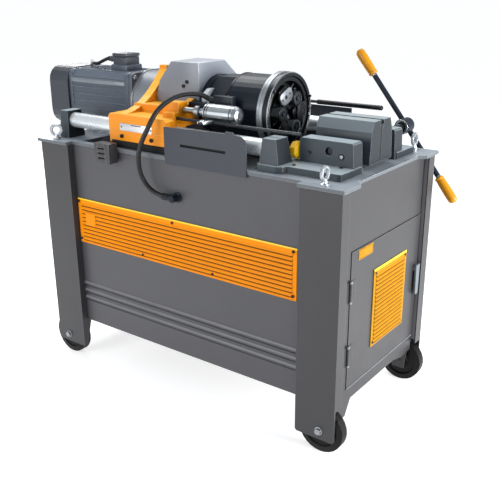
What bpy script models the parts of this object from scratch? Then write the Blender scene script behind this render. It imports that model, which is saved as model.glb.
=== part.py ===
"""Bar threading machine: a thread rolling head on a sliding carriage, a self-centring vise
and a wheeled cabinet, built as separate sub-parts.

Metres, +Z up.  Everything is laid out about the middle of the table: +X runs from the motor
to the vise, -Y is the side with the long louvre, +Y the operator's side, z = 0 the floor.
The last step moves the whole machine so that the middle of its outer box is the origin.
"""
import math

import bmesh
import bpy
from mathutils import Vector

# ---------------------------------------------------------------- driving dimensions
GAP = 0.0003                    # clearance between touching pieces

TABLE_LENGTH = 1.200
TABLE_WIDTH = 0.594
DECK_TOP = 0.804
DECK_THICKNESS = 0.010
DECK_UNDERSIDE = DECK_TOP - DECK_THICKNESS

POST_X = 0.592                  # outer side of a corner post
POST_Y = 0.289                  # front face of a corner post
POST_WIDTH = 0.133
POST_DEPTH = 0.040
POST_FOOT = 0.0465
SHEET = 0.004

WHEEL_RADIUS = 0.0735
WHEEL_WIDTH = 0.035
WHEEL_X = 0.541
WHEEL_Y = 0.2645
AXLE_RADIUS = 0.008

PANEL = 0.003
PANEL_TOP = DECK_UNDERSIDE - 0.0005
PANEL_BOTTOM = 0.148
FRONT_PANEL_Y = 0.263           # outer face of the long panels
SIDE_PANEL_X = 0.575            # outer face of the end panels

DOOR_FRONT, DOOR_REAR = -0.199, 0.2465
DOOR_BOTTOM, DOOR_TOP = 0.178, 0.606
DOOR_FACE = 0.577
HINGE_X, HINGE_Y = 0.5805, -0.2045
LATCH_Y, LATCH_Z = 0.228, 0.430

BAR_RADIUS = 0.025
BAR_Y = 0.205
BAR_Z = 0.862
BAR_LEFT, BAR_RIGHT = -0.525, 0.330

HEAD_Z = 0.927                  # axis of the threading head
MOTOR_Z = 0.920                 # axis of the motor
MOTOR_WIDTH = 0.190
MOTOR_BACK = -0.653
FAN_COVER_WIDTH = 0.204
FAN_COVER_Z = 0.916

SADDLE_LEFT, SADDLE_RIGHT = -0.293, -0.044
SADDLE_FACE = 0.250
SADDLE_FOOT_TOP = 0.912
SADDLE_BED = 0.937              # the gearbox stands on this face

PINION_MODULE = 0.004
PINION_TEETH = 12
PINION_RADIUS = PINION_MODULE * PINION_TEETH / 2
FEED_X = -0.170
FEED_Y = 0.2525

SCREW_X = 0.465
SCREW_Z = 0.863
SCREW_RADIUS = 0.012
VISE_PLATE_TOP = 0.824
VISE_BED_TOP = 0.818            # the lower bed that the jaws slide on
VISE_RIGHT = 0.548
VISE_WALL_INNER = 0.100

LEVER_Y = 0.338
LEVER_ANGLE = math.radians(129)
LEVER_ROD = 0.200
LEVER_GRIP = 0.095

HOSE_RADIUS = 0.0075
CABLE_RADIUS = 0.006


# ---------------------------------------------------------------- helpers
def clear_scene():
    for obj in list(bpy.data.objects):
        bpy.data.objects.remove(obj, do_unlink=True)


def make_material(name, colour, roughness, metallic):
    material = bpy.data.materials.new(name)
    material.use_nodes = True
    shader = material.node_tree.nodes["Principled BSDF"]
    shader.inputs["Base Color"].default_value = (*colour, 1.0)
    shader.inputs["Roughness"].default_value = roughness
    shader.inputs["Metallic"].default_value = metallic
    return material


def make_empty(name, location, parent=None):
    empty = bpy.data.objects.new(name, None)
    empty.empty_display_size = 0.05
    empty["machine_place"] = location
    bpy.context.scene.collection.objects.link(empty)
    place(empty, location, parent)
    return empty


def place(obj, location, parent):
    """Put an object at a place given in the machine's layout, under its parent empty."""
    obj.parent = parent
    base = Vector(parent["machine_place"]) if parent else Vector((0, 0, 0))
    obj.location = Vector(location) - base


def shape_from(bm):
    """Turn a bmesh into a loose object, faces outwards."""
    bmesh.ops.recalc_face_normals(bm, faces=bm.faces)
    mesh = bpy.data.meshes.new("shape")
    bm.to_mesh(mesh)
    bm.free()
    obj = bpy.data.objects.new("shape", mesh)
    bpy.context.scene.collection.objects.link(obj)
    return obj


def box(x, y, z):
    """A block between pairs of limits, in any order."""
    return prism([(x[0], y[0]), (x[1], y[0]), (x[1], y[1]), (x[0], y[1])], "Z", z[0], z[1])


def to_space(axis, along, u, v):
    """A point from its place along an axis and its two other coordinates, in x, y, z order."""
    if axis == "X":
        return Vector((along, u, v))
    if axis == "Y":
        return Vector((u, along, v))
    return Vector((u, v, along))


def prism(outline, axis, start, end):
    """An outline in the plane across an axis, extruded from start to end along it."""
    bm = bmesh.new()
    near = [bm.verts.new(to_space(axis, start, u, v)) for u, v in outline]
    far = [bm.verts.new(to_space(axis, end, u, v)) for u, v in outline]
    bm.faces.new(near)
    bm.faces.new(far)
    count = len(outline)
    for i in range(count):
        j = (i + 1) % count
        bm.faces.new((near[i], near[j], far[j], far[i]))
    return shape_from(bm)


def frustum(low, high, z):
    """A block whose lower and upper rectangles (x0, x1, y0, y1) differ."""
    bm = bmesh.new()
    rows = []
    for (x0, x1, y0, y1), height in ((low, z[0]), (high, z[1])):
        corners = ((x0, y0), (x1, y0), (x1, y1), (x0, y1))
        rows.append([bm.verts.new((x, y, height)) for x, y in corners])
    bm.faces.new(rows[0])
    bm.faces.new(rows[1])
    for i in range(4):
        j = (i + 1) % 4
        bm.faces.new((rows[0][i], rows[0][j], rows[1][j], rows[1][i]))
    return shape_from(bm)


def turned(profile, axis, centre, segments=32, closed=False):
    """A turned solid.  The profile lists (place along the axis, radius); a closed profile
    runs round a bore, an open one starts and ends on the axis."""
    bm = bmesh.new()
    rings = []
    for along, radius in profile:
        if radius == 0:
            rings.append([bm.verts.new(to_space(axis, along, *centre))])
            continue
        ring = []
        for step in range(segments):
            turn = math.tau * step / segments
            u = centre[0] + radius * math.cos(turn)
            v = centre[1] + radius * math.sin(turn)
            ring.append(bm.verts.new(to_space(axis, along, u, v)))
        rings.append(ring)
    pairs = list(zip(rings, rings[1:]))
    if closed:
        pairs.append((rings[-1], rings[0]))
    for first, second in pairs:
        for i in range(segments):
            j = (i + 1) % segments
            corners = [first[i % len(first)], first[j % len(first)],
                       second[j % len(second)], second[i % len(second)]]
            unique = list(dict.fromkeys(corners))
            if len(unique) > 2:
                bm.faces.new(unique)
    return shape_from(bm)


def cylinder(axis, centre, span, radius, segments=24, chamfer=0.0):
    """A round bar along an axis between two places, with chamfered ends."""
    start, end = span
    profile = [(start, 0)]
    if chamfer:
        profile += [(start, radius - chamfer), (start + chamfer, radius),
                    (end - chamfer, radius), (end, radius - chamfer)]
    else:
        profile += [(start, radius), (end, radius)]
    profile.append((end, 0))
    return turned(profile, axis, centre, segments)


def rod_between(start, end, radius, segments=16):
    """A round bar between two points in space."""
    start, end = Vector(start), Vector(end)
    direction = end - start
    bm = bmesh.new()
    turn = direction.to_track_quat("Z", "Y").to_matrix().to_4x4()
    turn.translation = (start + end) / 2
    bmesh.ops.create_cone(bm, cap_ends=True, segments=segments, radius1=radius,
                          radius2=radius, depth=direction.length, matrix=turn)
    return shape_from(bm)


def torus(axis, centre, along, ring_radius, wire_radius, segments=16, wire_segments=6):
    profile = []
    for step in range(wire_segments):
        turn = math.tau * step / wire_segments
        profile.append((along + wire_radius * math.sin(turn),
                        ring_radius + wire_radius * math.cos(turn)))
    return turned(profile, axis, centre, segments, closed=True)


def rounded_outline(width, height, centre, radius, steps=4):
    """A rectangle with round corners, as outline points."""
    points = []
    for corner in range(4):
        sign_u = 1 if corner in (0, 3) else -1
        sign_v = 1 if corner in (0, 1) else -1
        middle_u = centre[0] + sign_u * (width / 2 - radius)
        middle_v = centre[1] + sign_v * (height / 2 - radius)
        for step in range(steps + 1):
            turn = math.pi / 2 * (corner + step / steps)
            points.append((middle_u + radius * math.cos(turn),
                           middle_v + radius * math.sin(turn)))
    return points


def mirrored_outline(points):
    """An outline given on the plus side of its second coordinate, closed by its mirror image."""
    return points + [(u, -v) for u, v in reversed(points) if v != 0]


def turn_about_z(shape, x, y, angle):
    """Turn a loose shape about an upright axis."""
    for vertex in shape.data.vertices:
        u, v = vertex.co.x - x, vertex.co.y - y
        vertex.co.x = x + u * math.cos(angle) - v * math.sin(angle)
        vertex.co.y = y + u * math.sin(angle) + v * math.cos(angle)
    return shape


def flip(shape, sign_x, sign_y):
    """Mirror a loose shape into another quadrant of the machine."""
    for vertex in shape.data.vertices:
        vertex.co.x *= sign_x
        vertex.co.y *= sign_y
    if sign_x * sign_y < 0:
        shape.data.flip_normals()
    return shape


def combine(base, others, operation):
    for other in others:
        modifier = base.modifiers.new(operation, "BOOLEAN")
        modifier.operation = operation
        modifier.solver = "EXACT"
        modifier.object = other
    bpy.context.view_layer.update()
    evaluated = base.evaluated_get(bpy.context.evaluated_depsgraph_get())
    result = bpy.data.meshes.new_from_object(evaluated)
    base.modifiers.clear()
    base.data = result
    for other in others:
        bpy.data.objects.remove(other, do_unlink=True)


def solid(name, material, parent, origin, add, cut=()):
    """One named sub-part: shapes joined into one body, cut by others, with its own origin."""
    base = add[0]
    if len(add) > 1:
        combine(base, add[1:], "UNION")
    if cut:
        combine(base, list(cut), "DIFFERENCE")
    base.name = name
    mesh = base.data
    mesh.name = name
    for vertex in mesh.vertices:
        vertex.co -= Vector(origin)
    mesh.materials.clear()
    mesh.materials.append(material)
    mesh.shade_smooth()
    mesh.set_sharp_from_angle(angle=math.radians(35))
    place(base, origin, parent)
    return base


def smooth_route(route, spacing):
    """Evenly spaced points on a smooth curve through the route's own points; the first and
    the last stretch stay straight, because they leave a fitting."""
    points = [Vector(p) for p in route]
    fine = []
    for p0, p1, p2, p3 in zip(points, points[1:], points[2:], points[3:]):
        for step in range(24):
            t = step / 24
            fine.append(0.5 * (2 * p1 + (p2 - p0) * t
                               + (2 * p0 - 5 * p1 + 4 * p2 - p3) * t * t
                               + (3 * p1 - p0 - 3 * p2 + p3) * t ** 3))
    fine.append(points[-2])
    length = sum((b - a).length for a, b in zip(fine, fine[1:]))
    count = max(2, round(length / spacing))
    result = [points[0], fine[0]]
    travelled = 0.0
    for a, b in zip(fine, fine[1:]):
        segment = (b - a).length
        target = length * (len(result) - 1) / count
        if len(result) <= count and travelled + segment >= target:
            result.append(a.lerp(b, (target - travelled) / segment))
        travelled += segment
    return result + [fine[-1], points[-1]]


def cord(name, material, parent, route, radius):
    """A bent hose or cable: a round tube along a smooth curve."""
    curve = bpy.data.curves.new(name, "CURVE")
    curve.dimensions = "3D"
    curve.bevel_depth = radius
    curve.bevel_resolution = 2
    curve.use_fill_caps = True
    points = smooth_route(route, radius * 5)
    spline = curve.splines.new("POLY")
    spline.points.add(len(points) - 1)
    for target, point in zip(spline.points, points):
        target.co = (*point, 1)
    curve.materials.append(material)
    obj = bpy.data.objects.new(name, curve)
    bpy.context.scene.collection.objects.link(obj)
    base = Vector(parent["machine_place"])
    obj.parent = parent
    obj.location = -base
    return obj


# ---------------------------------------------------------------- cabinet
def make_post(name, sign_x, sign_y, material, root):
    """A corner post: a folded channel with a wheel fork and a fixed axle at its foot."""
    top = DECK_UNDERSIDE - GAP
    inner = POST_X - POST_WIDTH
    fork_y = (0.237, 0.241)
    shelf_z = (0.155, 0.159)
    corner = 0.006
    face = prism([(inner, POST_FOOT + corner), (inner + corner, POST_FOOT),
                  (POST_X - corner, POST_FOOT), (POST_X, POST_FOOT + corner),
                  (POST_X, top), (inner, top)], "Y", POST_Y - SHEET, POST_Y)
    outer_side = prism([(POST_Y, POST_FOOT + corner), (POST_Y, top),
                        (POST_Y - POST_DEPTH, top), (POST_Y - POST_DEPTH, 0.150),
                        (0.2835, 0.150), (0.2835, POST_FOOT + corner)],
                       "X", POST_X - SHEET, POST_X)
    inner_side = prism([(POST_Y, POST_FOOT + corner), (POST_Y, top),
                        (POST_Y - POST_DEPTH, top), (POST_Y - POST_DEPTH, 0.140),
                        (0.272, POST_FOOT + corner)], "X", inner, inner + SHEET)
    fork_x = SIDE_PANEL_X - PANEL - 0.0005
    side_y = POST_Y - POST_DEPTH + 0.0005
    shelf = prism([(inner, fork_y[0]), (fork_x, fork_y[0]), (fork_x, side_y), (POST_X, side_y),
                   (POST_X, POST_Y), (inner, POST_Y)], "Z", *shelf_z)
    fork = prism([(0.478, shelf_z[1]), (fork_x, shelf_z[1]), (0.561, 0.050), (0.521, 0.050)],
                 "Y", *fork_y)
    axle = cylinder("Y", (WHEEL_X, WHEEL_RADIUS), (fork_y[0] - 0.004, POST_Y - 0.001),
                    AXLE_RADIUS, 16)
    shapes = [flip(s, sign_x, sign_y) for s in (face, outer_side, inner_side, shelf, fork, axle)]
    return solid(name, material, root, (sign_x * WHEEL_X, sign_y * POST_Y, 0), shapes)


def make_wheel(name, x, y, material, parent):
    half = WHEEL_WIDTH / 2
    side = [(half, AXLE_RADIUS + 0.0006), (half, 0.026), (half - 0.006, 0.030),
            (half - 0.006, 0.050), (half, 0.055), (half - 0.004, WHEEL_RADIUS)]
    profile = [(y - a, r) for a, r in side] + [(y + a, r) for a, r in reversed(side)]
    wheel = turned(profile, "Y", (x, WHEEL_RADIUS), 28, closed=True)
    return solid(name, material, parent, (x, y, WHEEL_RADIUS), [wheel])


def make_long_panel(name, sign_y, material, root):
    """A long panel: sheet with three pressed ridges and a folded lower lip."""
    outer, inner = FRONT_PANEL_Y, FRONT_PANEL_Y - PANEL
    outline = [(inner, PANEL_TOP), (outer, PANEL_TOP)]
    for ridge in (0.291, 0.2635, 0.236):
        outline += [(outer, ridge + 0.008), (outer + 0.004, ridge + 0.003),
                    (outer + 0.004, ridge - 0.003), (outer, ridge - 0.008)]
    outline += [(outer, PANEL_BOTTOM), (0.245, PANEL_BOTTOM), (0.245, PANEL_BOTTOM + 0.002),
                (inner, PANEL_BOTTOM + 0.002)]
    reach = POST_X - POST_WIDTH - GAP
    panel = prism([(sign_y * y, z) for y, z in outline], "X", -reach, reach)
    return solid(name, material, root, (0, sign_y * outer, PANEL_BOTTOM), [panel])


def make_cabinet(materials, root):
    grey, orange, black, zinc = (materials[k] for k in ("grey", "orange", "black", "zinc"))
    for end, sign_x in (("left", -1), ("right", 1)):
        for side, sign_y in (("front", -1), ("rear", 1)):
            make_post(f"post_{side}_{end}", sign_x, sign_y, grey, root)
    make_long_panel("front_panel", -1, grey, root)
    make_long_panel("rear_panel", 1, grey, root)
    reach = POST_Y - POST_DEPTH - GAP
    inner_x = SIDE_PANEL_X - PANEL
    left = box((-SIDE_PANEL_X, -inner_x), (-reach, reach), (PANEL_BOTTOM, PANEL_TOP))
    solid("left_panel", grey, root, (-SIDE_PANEL_X, 0, PANEL_BOTTOM), [left])
    frame = prism(end_frame_outline(reach), "X", inner_x, SIDE_PANEL_X)
    solid("right_panel", grey, root, (SIDE_PANEL_X, 0, PANEL_BOTTOM), [frame])
    make_floor(grey, root)
    make_table(materials["table"], root)
    make_long_louvre(orange, root)
    make_tank_and_pump(materials, root)
    for name, z in (("hinge_upper", 0.490), ("hinge_lower", 0.290)):
        make_hinge(name, z, zinc, root)
    for side, sign_y in (("front", -1), ("rear", 1)):
        for end, sign_x in (("left", -1), ("right", 1)):
            angle = math.radians(-36 if (side, end) == ("front", "left") else 0)
            make_eye(f"lifting_eye_{side}_{end}", sign_x * 0.527, sign_y * 0.273, angle, zinc,
                     root)


def end_frame_outline(reach):
    """The door's end panel: open for the door, with a low rail and a tab beside each wheel."""
    rail_bottom, wheel_top = 0.137, 0.150
    beside_wheel = 0.2463
    sill, lintel = DOOR_BOTTOM - 0.002, DOOR_TOP + 0.002
    jamb = DOOR_FRONT - 0.002
    return [(-beside_wheel, 0.0975), (-0.198, 0.088), (-0.167, rail_bottom),
            (0.120, rail_bottom), (0.184, 0.1215), (beside_wheel, 0.126),
            (beside_wheel, wheel_top), (reach, wheel_top), (reach, sill), (jamb, sill),
            (jamb, lintel), (reach, lintel), (reach, PANEL_TOP), (-reach, PANEL_TOP),
            (-reach, wheel_top), (-beside_wheel, wheel_top)]


def make_floor(material, root):
    z = PANEL_BOTTOM + 0.002 + GAP
    half_x, half_y = SIDE_PANEL_X - PANEL - GAP, FRONT_PANEL_Y - PANEL - GAP
    notch_x, notch_y = POST_X - POST_WIDTH - 0.001, 0.232
    quarter = [(half_x, 0), (half_x, notch_y), (notch_x, notch_y), (notch_x, half_y),
               (-notch_x, half_y), (-notch_x, notch_y), (-half_x, notch_y), (-half_x, 0)]
    floor = prism(mirrored_outline(quarter), "Z", z, z + PANEL)
    solid("floor_pan", material, root, (0, 0, z), [floor])


def tray_outline(offset):
    """The coolant tray's plan, grown by an offset."""
    left, middle, right = -0.430 - offset, 0.270 + offset, 0.328 + offset
    wide, narrow = 0.245 + offset, 0.160 + offset
    return mirrored_outline([(right, 0), (right, narrow), (middle, narrow), (middle, wide),
                             (left, wide), (left, 0)])


def make_table(material, root):
    """The deck with its corner plates and cable gland, and the tray under its opening."""
    half_x, half_y = TABLE_LENGTH / 2, TABLE_WIDTH / 2
    set_back_x, set_back_y = 0.578, 0.268
    corner_y, corner_x = 0.190, 0.457
    half = [(set_back_x, 0), (set_back_x, corner_y), (half_x, corner_y + 0.020),
            (half_x, half_y), (corner_x, half_y), (corner_x, set_back_y),
            (-corner_x, set_back_y), (-corner_x, half_y), (-half_x, half_y),
            (-half_x, corner_y + 0.020), (-set_back_x, corner_y), (-set_back_x, 0)]
    deck = prism(mirrored_outline(half), "Z", DECK_UNDERSIDE, DECK_TOP)
    tray_floor = 0.700
    wall = 0.003
    pan = prism(tray_outline(wall), "Z", tray_floor, DECK_TOP - 0.002)
    hollow = prism(tray_outline(0), "Z", tray_floor + wall, DECK_TOP + 0.010)
    drain = cylinder("Z", (-0.100, 0), (tray_floor - 0.010, tray_floor + 0.010), 0.020)
    gland = turned([(DECK_TOP - 0.002, 0), (DECK_TOP - 0.002, 0.014), (0.814, 0.014),
                    (0.816, 0.010), (0.828, 0.009), (0.828, 0)], "Z", (-0.520, 0.135), 16)
    solid("table_top", material, root, (0, 0, DECK_TOP), [deck, pan, gland], [hollow, drain])


def louvre_shapes(plane, u_span, z_span, slat_span, slats, side):
    """A louvre plate and its slats: a wedge for each slat, leaning out at its lower edge.
    side is 'Y' for a plate that faces -Y and 'X' for one that faces +X."""
    sign = -1 if side == "Y" else 1
    extrude = "X" if side == "Y" else "Y"
    plate = 0.0028
    proud = 0.0062
    outline = [(plane, z_span[0]), (plane + sign * plate, z_span[0]),
               (plane + sign * plate, z_span[1]), (plane, z_span[1])]
    shapes = [prism(outline, extrude, *u_span)]
    margin = 0.011
    pitch = (z_span[1] - z_span[0] - 2 * margin) / slats
    for index in range(slats):
        low = z_span[0] + margin + pitch * (index + 0.12)
        high = low + pitch * 0.78
        wedge = [(plane + sign * 0.001, low), (plane + sign * proud, low),
                 (plane + sign * proud, low + 0.0015), (plane + sign * 0.001, high)]
        shapes.append(prism(wedge, extrude, *slat_span))
    return shapes


def make_long_louvre(material, root):
    plane = -FRONT_PANEL_Y - GAP
    shapes = louvre_shapes(plane, (-0.455, 0.443), (0.450, 0.608), (-0.440, 0.428), 10, "Y")
    name_plate = box((-0.418, -0.372), (plane - 0.001, plane - 0.0066), (0.520, 0.563))
    solid("front_louvre", material, root, (0, plane, 0.529), shapes + [name_plate])


def make_tank_and_pump(materials, root):
    low = PANEL_BOTTOM + 0.002 + 2 * GAP + PANEL
    outer = box((-0.40, 0.02), (-0.17, 0.17), (low, 0.370))
    inner = box((-0.397, 0.017), (-0.167, 0.167), (low + 0.003, 0.400))
    solid("coolant_tank", materials["grey"], root, (-0.19, 0, low), [outer], [inner])
    base = low + 0.003 + GAP
    profile = [(base, 0), (base, 0.045), (base + 0.05, 0.045), (base + 0.06, 0.022),
               (0.385, 0.022), (0.390, 0.060), (0.400, 0.060), (0.402, 0.052),
               (0.510, 0.052), (0.525, 0.040), (0.525, 0)]
    pump = turned(profile, "Z", (-0.315, 0), 20)
    outlet = rod_between((-0.315, 0, 0.395), (-0.315, -0.09, 0.395), 0.010, 12)
    solid("coolant_pump", materials["black"], root, (-0.315, 0, base), [pump, outlet])


def make_hinge(name, z, material, root):
    barrel = cylinder("Z", (HINGE_X, HINGE_Y), (z - 0.030, z + 0.030), 0.005, 12)
    leaf = box((SIDE_PANEL_X + GAP, SIDE_PANEL_X + 0.0025), (-0.232, HINGE_Y),
               (z - 0.030, z + 0.030))
    solid(name, material, root, (HINGE_X, HINGE_Y, z), [barrel, leaf])


def make_eye(name, x, y, angle, material, root):
    """A screwed-in lifting eye; each one stops at its own angle."""
    base = DECK_TOP + GAP
    collar = turned([(base, 0), (base, 0.013), (base + 0.004, 0.013), (base + 0.006, 0.008),
                     (base + 0.016, 0.006), (base + 0.016, 0)], "Z", (x, y), 16)
    ring = turn_about_z(torus("X", (y, base + 0.031), x, 0.017, 0.0052), x, y, angle)
    solid(name, material, root, (x, y, base), [collar, ring])


def make_door(materials, hinge_axis, latch_axis):
    inner_x = SIDE_PANEL_X - PANEL
    skin = box((inner_x, DOOR_FACE), (DOOR_FRONT, DOOR_REAR), (DOOR_BOTTOM, DOOR_TOP))
    leaves = [box((DOOR_FACE - 0.001, DOOR_FACE + 0.0015), (DOOR_FRONT, -0.172),
                  (z - 0.030, z + 0.030)) for z in (0.490, 0.290)]
    solid("door", materials["grey"], hinge_axis, (HINGE_X, HINGE_Y, DOOR_BOTTOM),
          [skin] + leaves)
    plane = DOOR_FACE + GAP
    shapes = louvre_shapes(plane, (-0.063, 0.153), (0.262, 0.512), (-0.050, 0.140), 17, "X")
    solid("door_louvre", materials["orange"], hinge_axis, (plane, 0.045, 0.387), shapes)
    boss = cylinder("X", (LATCH_Y, LATCH_Z), (DOOR_FACE + GAP, DOOR_FACE + 0.009), 0.013, 20)
    paddle = prism([(LATCH_Y - 0.013, LATCH_Z + 0.012), (LATCH_Y + 0.013, LATCH_Z + 0.012),
                    (LATCH_Y + 0.010, LATCH_Z - 0.085), (LATCH_Y + 0.004, LATCH_Z - 0.092),
                    (LATCH_Y - 0.004, LATCH_Z - 0.092), (LATCH_Y - 0.010, LATCH_Z - 0.085)],
                   "X", DOOR_FACE + 0.0075, DOOR_FACE + 0.0135)
    solid("door_latch", materials["zinc"], latch_axis, (DOOR_FACE, LATCH_Y, LATCH_Z),
          [boss, paddle])


def make_side_fittings(materials, root):
    """What is fixed along the table's long edges."""
    dark = materials["dark"]
    plate_y = (-0.2683, -0.2723)
    guard = prism([(-0.035, 0.785), (0.272, 0.785), (0.272, 0.880), (0.266, 0.891),
                   (0.254, 0.899), (0.228, 0.901), (0.226, 0.908), (0.200, 0.908),
                   (0.198, 0.901), (-0.035, 0.897)], "Y", *plate_y)
    slot = box((0.029, 0.199), (-0.260, -0.280), (0.844, 0.852))
    solid("front_guard", dark, root, (0.118, plate_y[0], 0.785), [guard], [slot])
    rear = box((0.000, 0.310), (0.252, 0.255), (DECK_TOP + GAP, 0.915))
    solid("rear_guard", dark, root, (0.155, 0.252, DECK_TOP), [rear])
    housing = prism(rounded_outline(0.068, 0.064, (-0.274, 0.792), 0.005, 2), "Y",
                    -0.3065, -0.2686)
    slots = [box((-0.292 + 0.018 * i, -0.286 + 0.018 * i), (-0.310, -0.304), (0.772, 0.806))
             for i in range(3)]
    solid("switch_box", dark, root, (-0.274, -0.2686, 0.790), [housing], slots)
    boss = turned([(-FRONT_PANEL_Y - GAP, 0), (-FRONT_PANEL_Y - GAP, 0.016), (-0.268, 0.016),
                   (-0.269, 0.012), (-0.293, 0.012), (-0.296, 0.009), (-0.296, 0)],
                  "Y", (0.004, 0.684), 20)
    stub = cylinder("X", (-0.2815, 0.684), (-0.022, 0.004), 0.0105, 16)
    solid("hose_elbow", materials["zinc"], root, (0.004, -0.2633, 0.684), [boss, stub])
    control = box((-0.40, -0.22), (FRONT_PANEL_Y + GAP, 0.325), (0.560, 0.720))
    holes = [cylinder("Y", (x, 0.660), (0.317, 0.330), 0.0126) for x in (-0.345, -0.275)]
    solid("control_box", dark, root, (-0.31, 0.263, 0.640), [control], holes)


def make_button(name, x, material, parent):
    button = cylinder("Y", (x, 0.660), (0.3213, 0.334), 0.012, 20, 0.0015)
    solid(name, material, parent, (x, 0.325, 0.660), [button])


# ---------------------------------------------------------------- bars, vise and rack
def make_guides(materials, root):
    for side, sign in (("front", -1), ("rear", 1)):
        centre = (sign * BAR_Y, BAR_Z)
        bar = cylinder("X", centre, (BAR_LEFT, BAR_RIGHT), BAR_RADIUS, 36, 0.001)
        solid(f"guide_bar_{side}", materials["steel"], root, (0, *centre), [bar])
        y = sign * BAR_Y
        block = frustum((-0.548, -0.503, y - 0.036, y + 0.036),
                        (-0.543, -0.507, y - 0.030, y + 0.030), (DECK_TOP + GAP, 0.895))
        bore = cylinder("X", centre, (BAR_LEFT - GAP, -0.440), BAR_RADIUS + GAP, 36)
        solid(f"bar_block_{side}", materials["dark"], root, (-0.525, y, DECK_TOP), [block],
              [bore])


def rack_outline(left, teeth, root_z, tip_z, foot_z):
    """A rack with straight-sided teeth, the first one standing at left."""
    pitch = math.pi * PINION_MODULE
    pitch_line = BAR_Z - PINION_RADIUS
    slope = math.tan(math.radians(20))
    half_at_pitch = pitch / 4 - 0.0004
    points = [(left - pitch / 2, foot_z), (left - pitch / 2, root_z)]
    for index in range(teeth):
        middle = left + pitch * index
        low = half_at_pitch + (pitch_line - root_z) * slope
        high = half_at_pitch - (tip_z - pitch_line) * slope
        points += [(middle - low, root_z), (middle - high, tip_z),
                   (middle + high, tip_z), (middle + low, root_z)]
    points.append((left + pitch * (teeth - 0.5), root_z))
    points.append((left + pitch * (teeth - 0.5), foot_z))
    return points


def make_rack(material, root):
    """The feed rack: its teeth leave a space straight below the pinion at rest."""
    pitch = math.pi * PINION_MODULE
    teeth = 26
    pitch_line = BAR_Z - PINION_RADIUS
    first = FEED_X - pitch * 15.5
    outline = rack_outline(first, teeth, pitch_line - 0.0050, pitch_line + 0.0036,
                           DECK_TOP + GAP)
    rack = prism(outline, "Y", FEED_Y + 0.0005, FEED_Y + 0.0150)
    solid("feed_rack", material, root, (FEED_X, FEED_Y, DECK_TOP), [rack])


def vise_plate_outline():
    """A plate with two ledges, open between the walls at its right end."""
    half = [(0.330, 0), (0.330, 0.165), (0.288, 0.165), (0.285, 0.172), (0.285, 0.240),
            (0.296, 0.250), (0.352, 0.250), (0.372, 0.240), (0.380, 0.225),
            (VISE_RIGHT, 0.225), (VISE_RIGHT, 0.110), (0.364, 0.110), (0.364, 0)]
    return mirrored_outline(half)


def make_vise(materials, root):
    bottom = DECK_TOP + GAP
    plate = prism(vise_plate_outline(), "Z", bottom, VISE_PLATE_TOP)
    bed = box((0.350, 0.522), (-0.105, 0.105), (bottom, VISE_BED_TOP))
    walls, blocks, bores = [], [], []
    wall_face = [(0.372, bottom), (0.544, bottom), (0.540, 0.888), (0.535, 0.893),
                 (0.375, 0.893), (0.370, 0.888)]
    for sign in (-1, 1):
        walls.append(prism(wall_face, "Y", sign * VISE_WALL_INNER, sign * 0.150))
        y = sign * BAR_Y
        blocks.append(frustum((0.293, 0.360, y - 0.036, y + 0.036),
                              (0.300, 0.345, y - 0.029, y + 0.029), (0.815, 0.895)))
        bores.append(cylinder("X", (y, BAR_Z), (0.270, BAR_RIGHT + GAP), BAR_RADIUS + GAP, 36))
    screw_hole = cylinder("Y", (SCREW_X, SCREW_Z), (-0.200, 0.200), SCREW_RADIUS + 0.0006)
    small = [cylinder("Y", (0.404, 0.854), (-0.160, -0.135), 0.0035, 12),
             cylinder("Y", (0.505, 0.853), (-0.160, -0.135), 0.0060, 16)]
    solid("vise_base", materials["cast"], root, (SCREW_X, 0, DECK_TOP),
          [plate, bed] + walls + blocks, bores + [screw_hole] + small)


def make_jaw(name, sign, material, parent):
    """One jaw: a sloped outer face and a vertical vee, open across the parting plane."""
    part = 0.0004
    outline = [(part, VISE_BED_TOP + GAP), (0.067, VISE_BED_TOP + GAP), (0.067, 0.832),
               (0.061, 0.909), (0.049, 0.938), (0.006, 0.938), (0.013, HEAD_Z - 0.002),
               (part, HEAD_Z - 0.016)]
    jaw = prism([(sign * y, z) for y, z in outline], "X", 0.3695, VISE_RIGHT)
    bore = cylinder("Y", (SCREW_X, SCREW_Z), (-0.2, 0.2), SCREW_RADIUS + 0.0006)
    solid(name, material, parent, (SCREW_X, 0, SCREW_Z), [jaw], [bore])


def make_vise_screw(materials, parent):
    profile = [(-0.142, 0), (-0.142, 0.010), (-0.140, SCREW_RADIUS), (0.1505, SCREW_RADIUS),
               (0.1505, 0.020), (0.164, 0.020), (0.164, SCREW_RADIUS), (0.300, SCREW_RADIUS),
               (0.300, 0)]
    screw = turned(profile, "Y", (SCREW_X, SCREW_Z), 24)
    solid("vise_screw", materials["steel"], parent, (SCREW_X, 0, SCREW_Z), [screw])
    axis = (SCREW_X, SCREW_Z)
    hub = cylinder("Y", axis, (0.300 + GAP, 0.351), 0.025, 28, 0.003)
    along = Vector((math.cos(LEVER_ANGLE), 0, math.sin(LEVER_ANGLE)))
    middle = Vector((SCREW_X, LEVER_Y, SCREW_Z))
    arms = rod_between(middle - along * LEVER_ROD, middle + along * LEVER_ROD, 0.0085)
    solid("vise_lever", materials["black"], parent, middle, [hub, arms])
    for name, sign in (("grip_upper", 1), ("grip_lower", -1)):
        start = middle + along * sign * (LEVER_ROD + GAP)
        end = middle + along * sign * (LEVER_ROD + LEVER_GRIP)
        neck = start.lerp(end, 0.08)
        grip = rod_between(start, end, 0.0135)
        collar = rod_between(start, neck, 0.0155)
        solid(name, materials["orange"], parent, start, [grip, collar])


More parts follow.
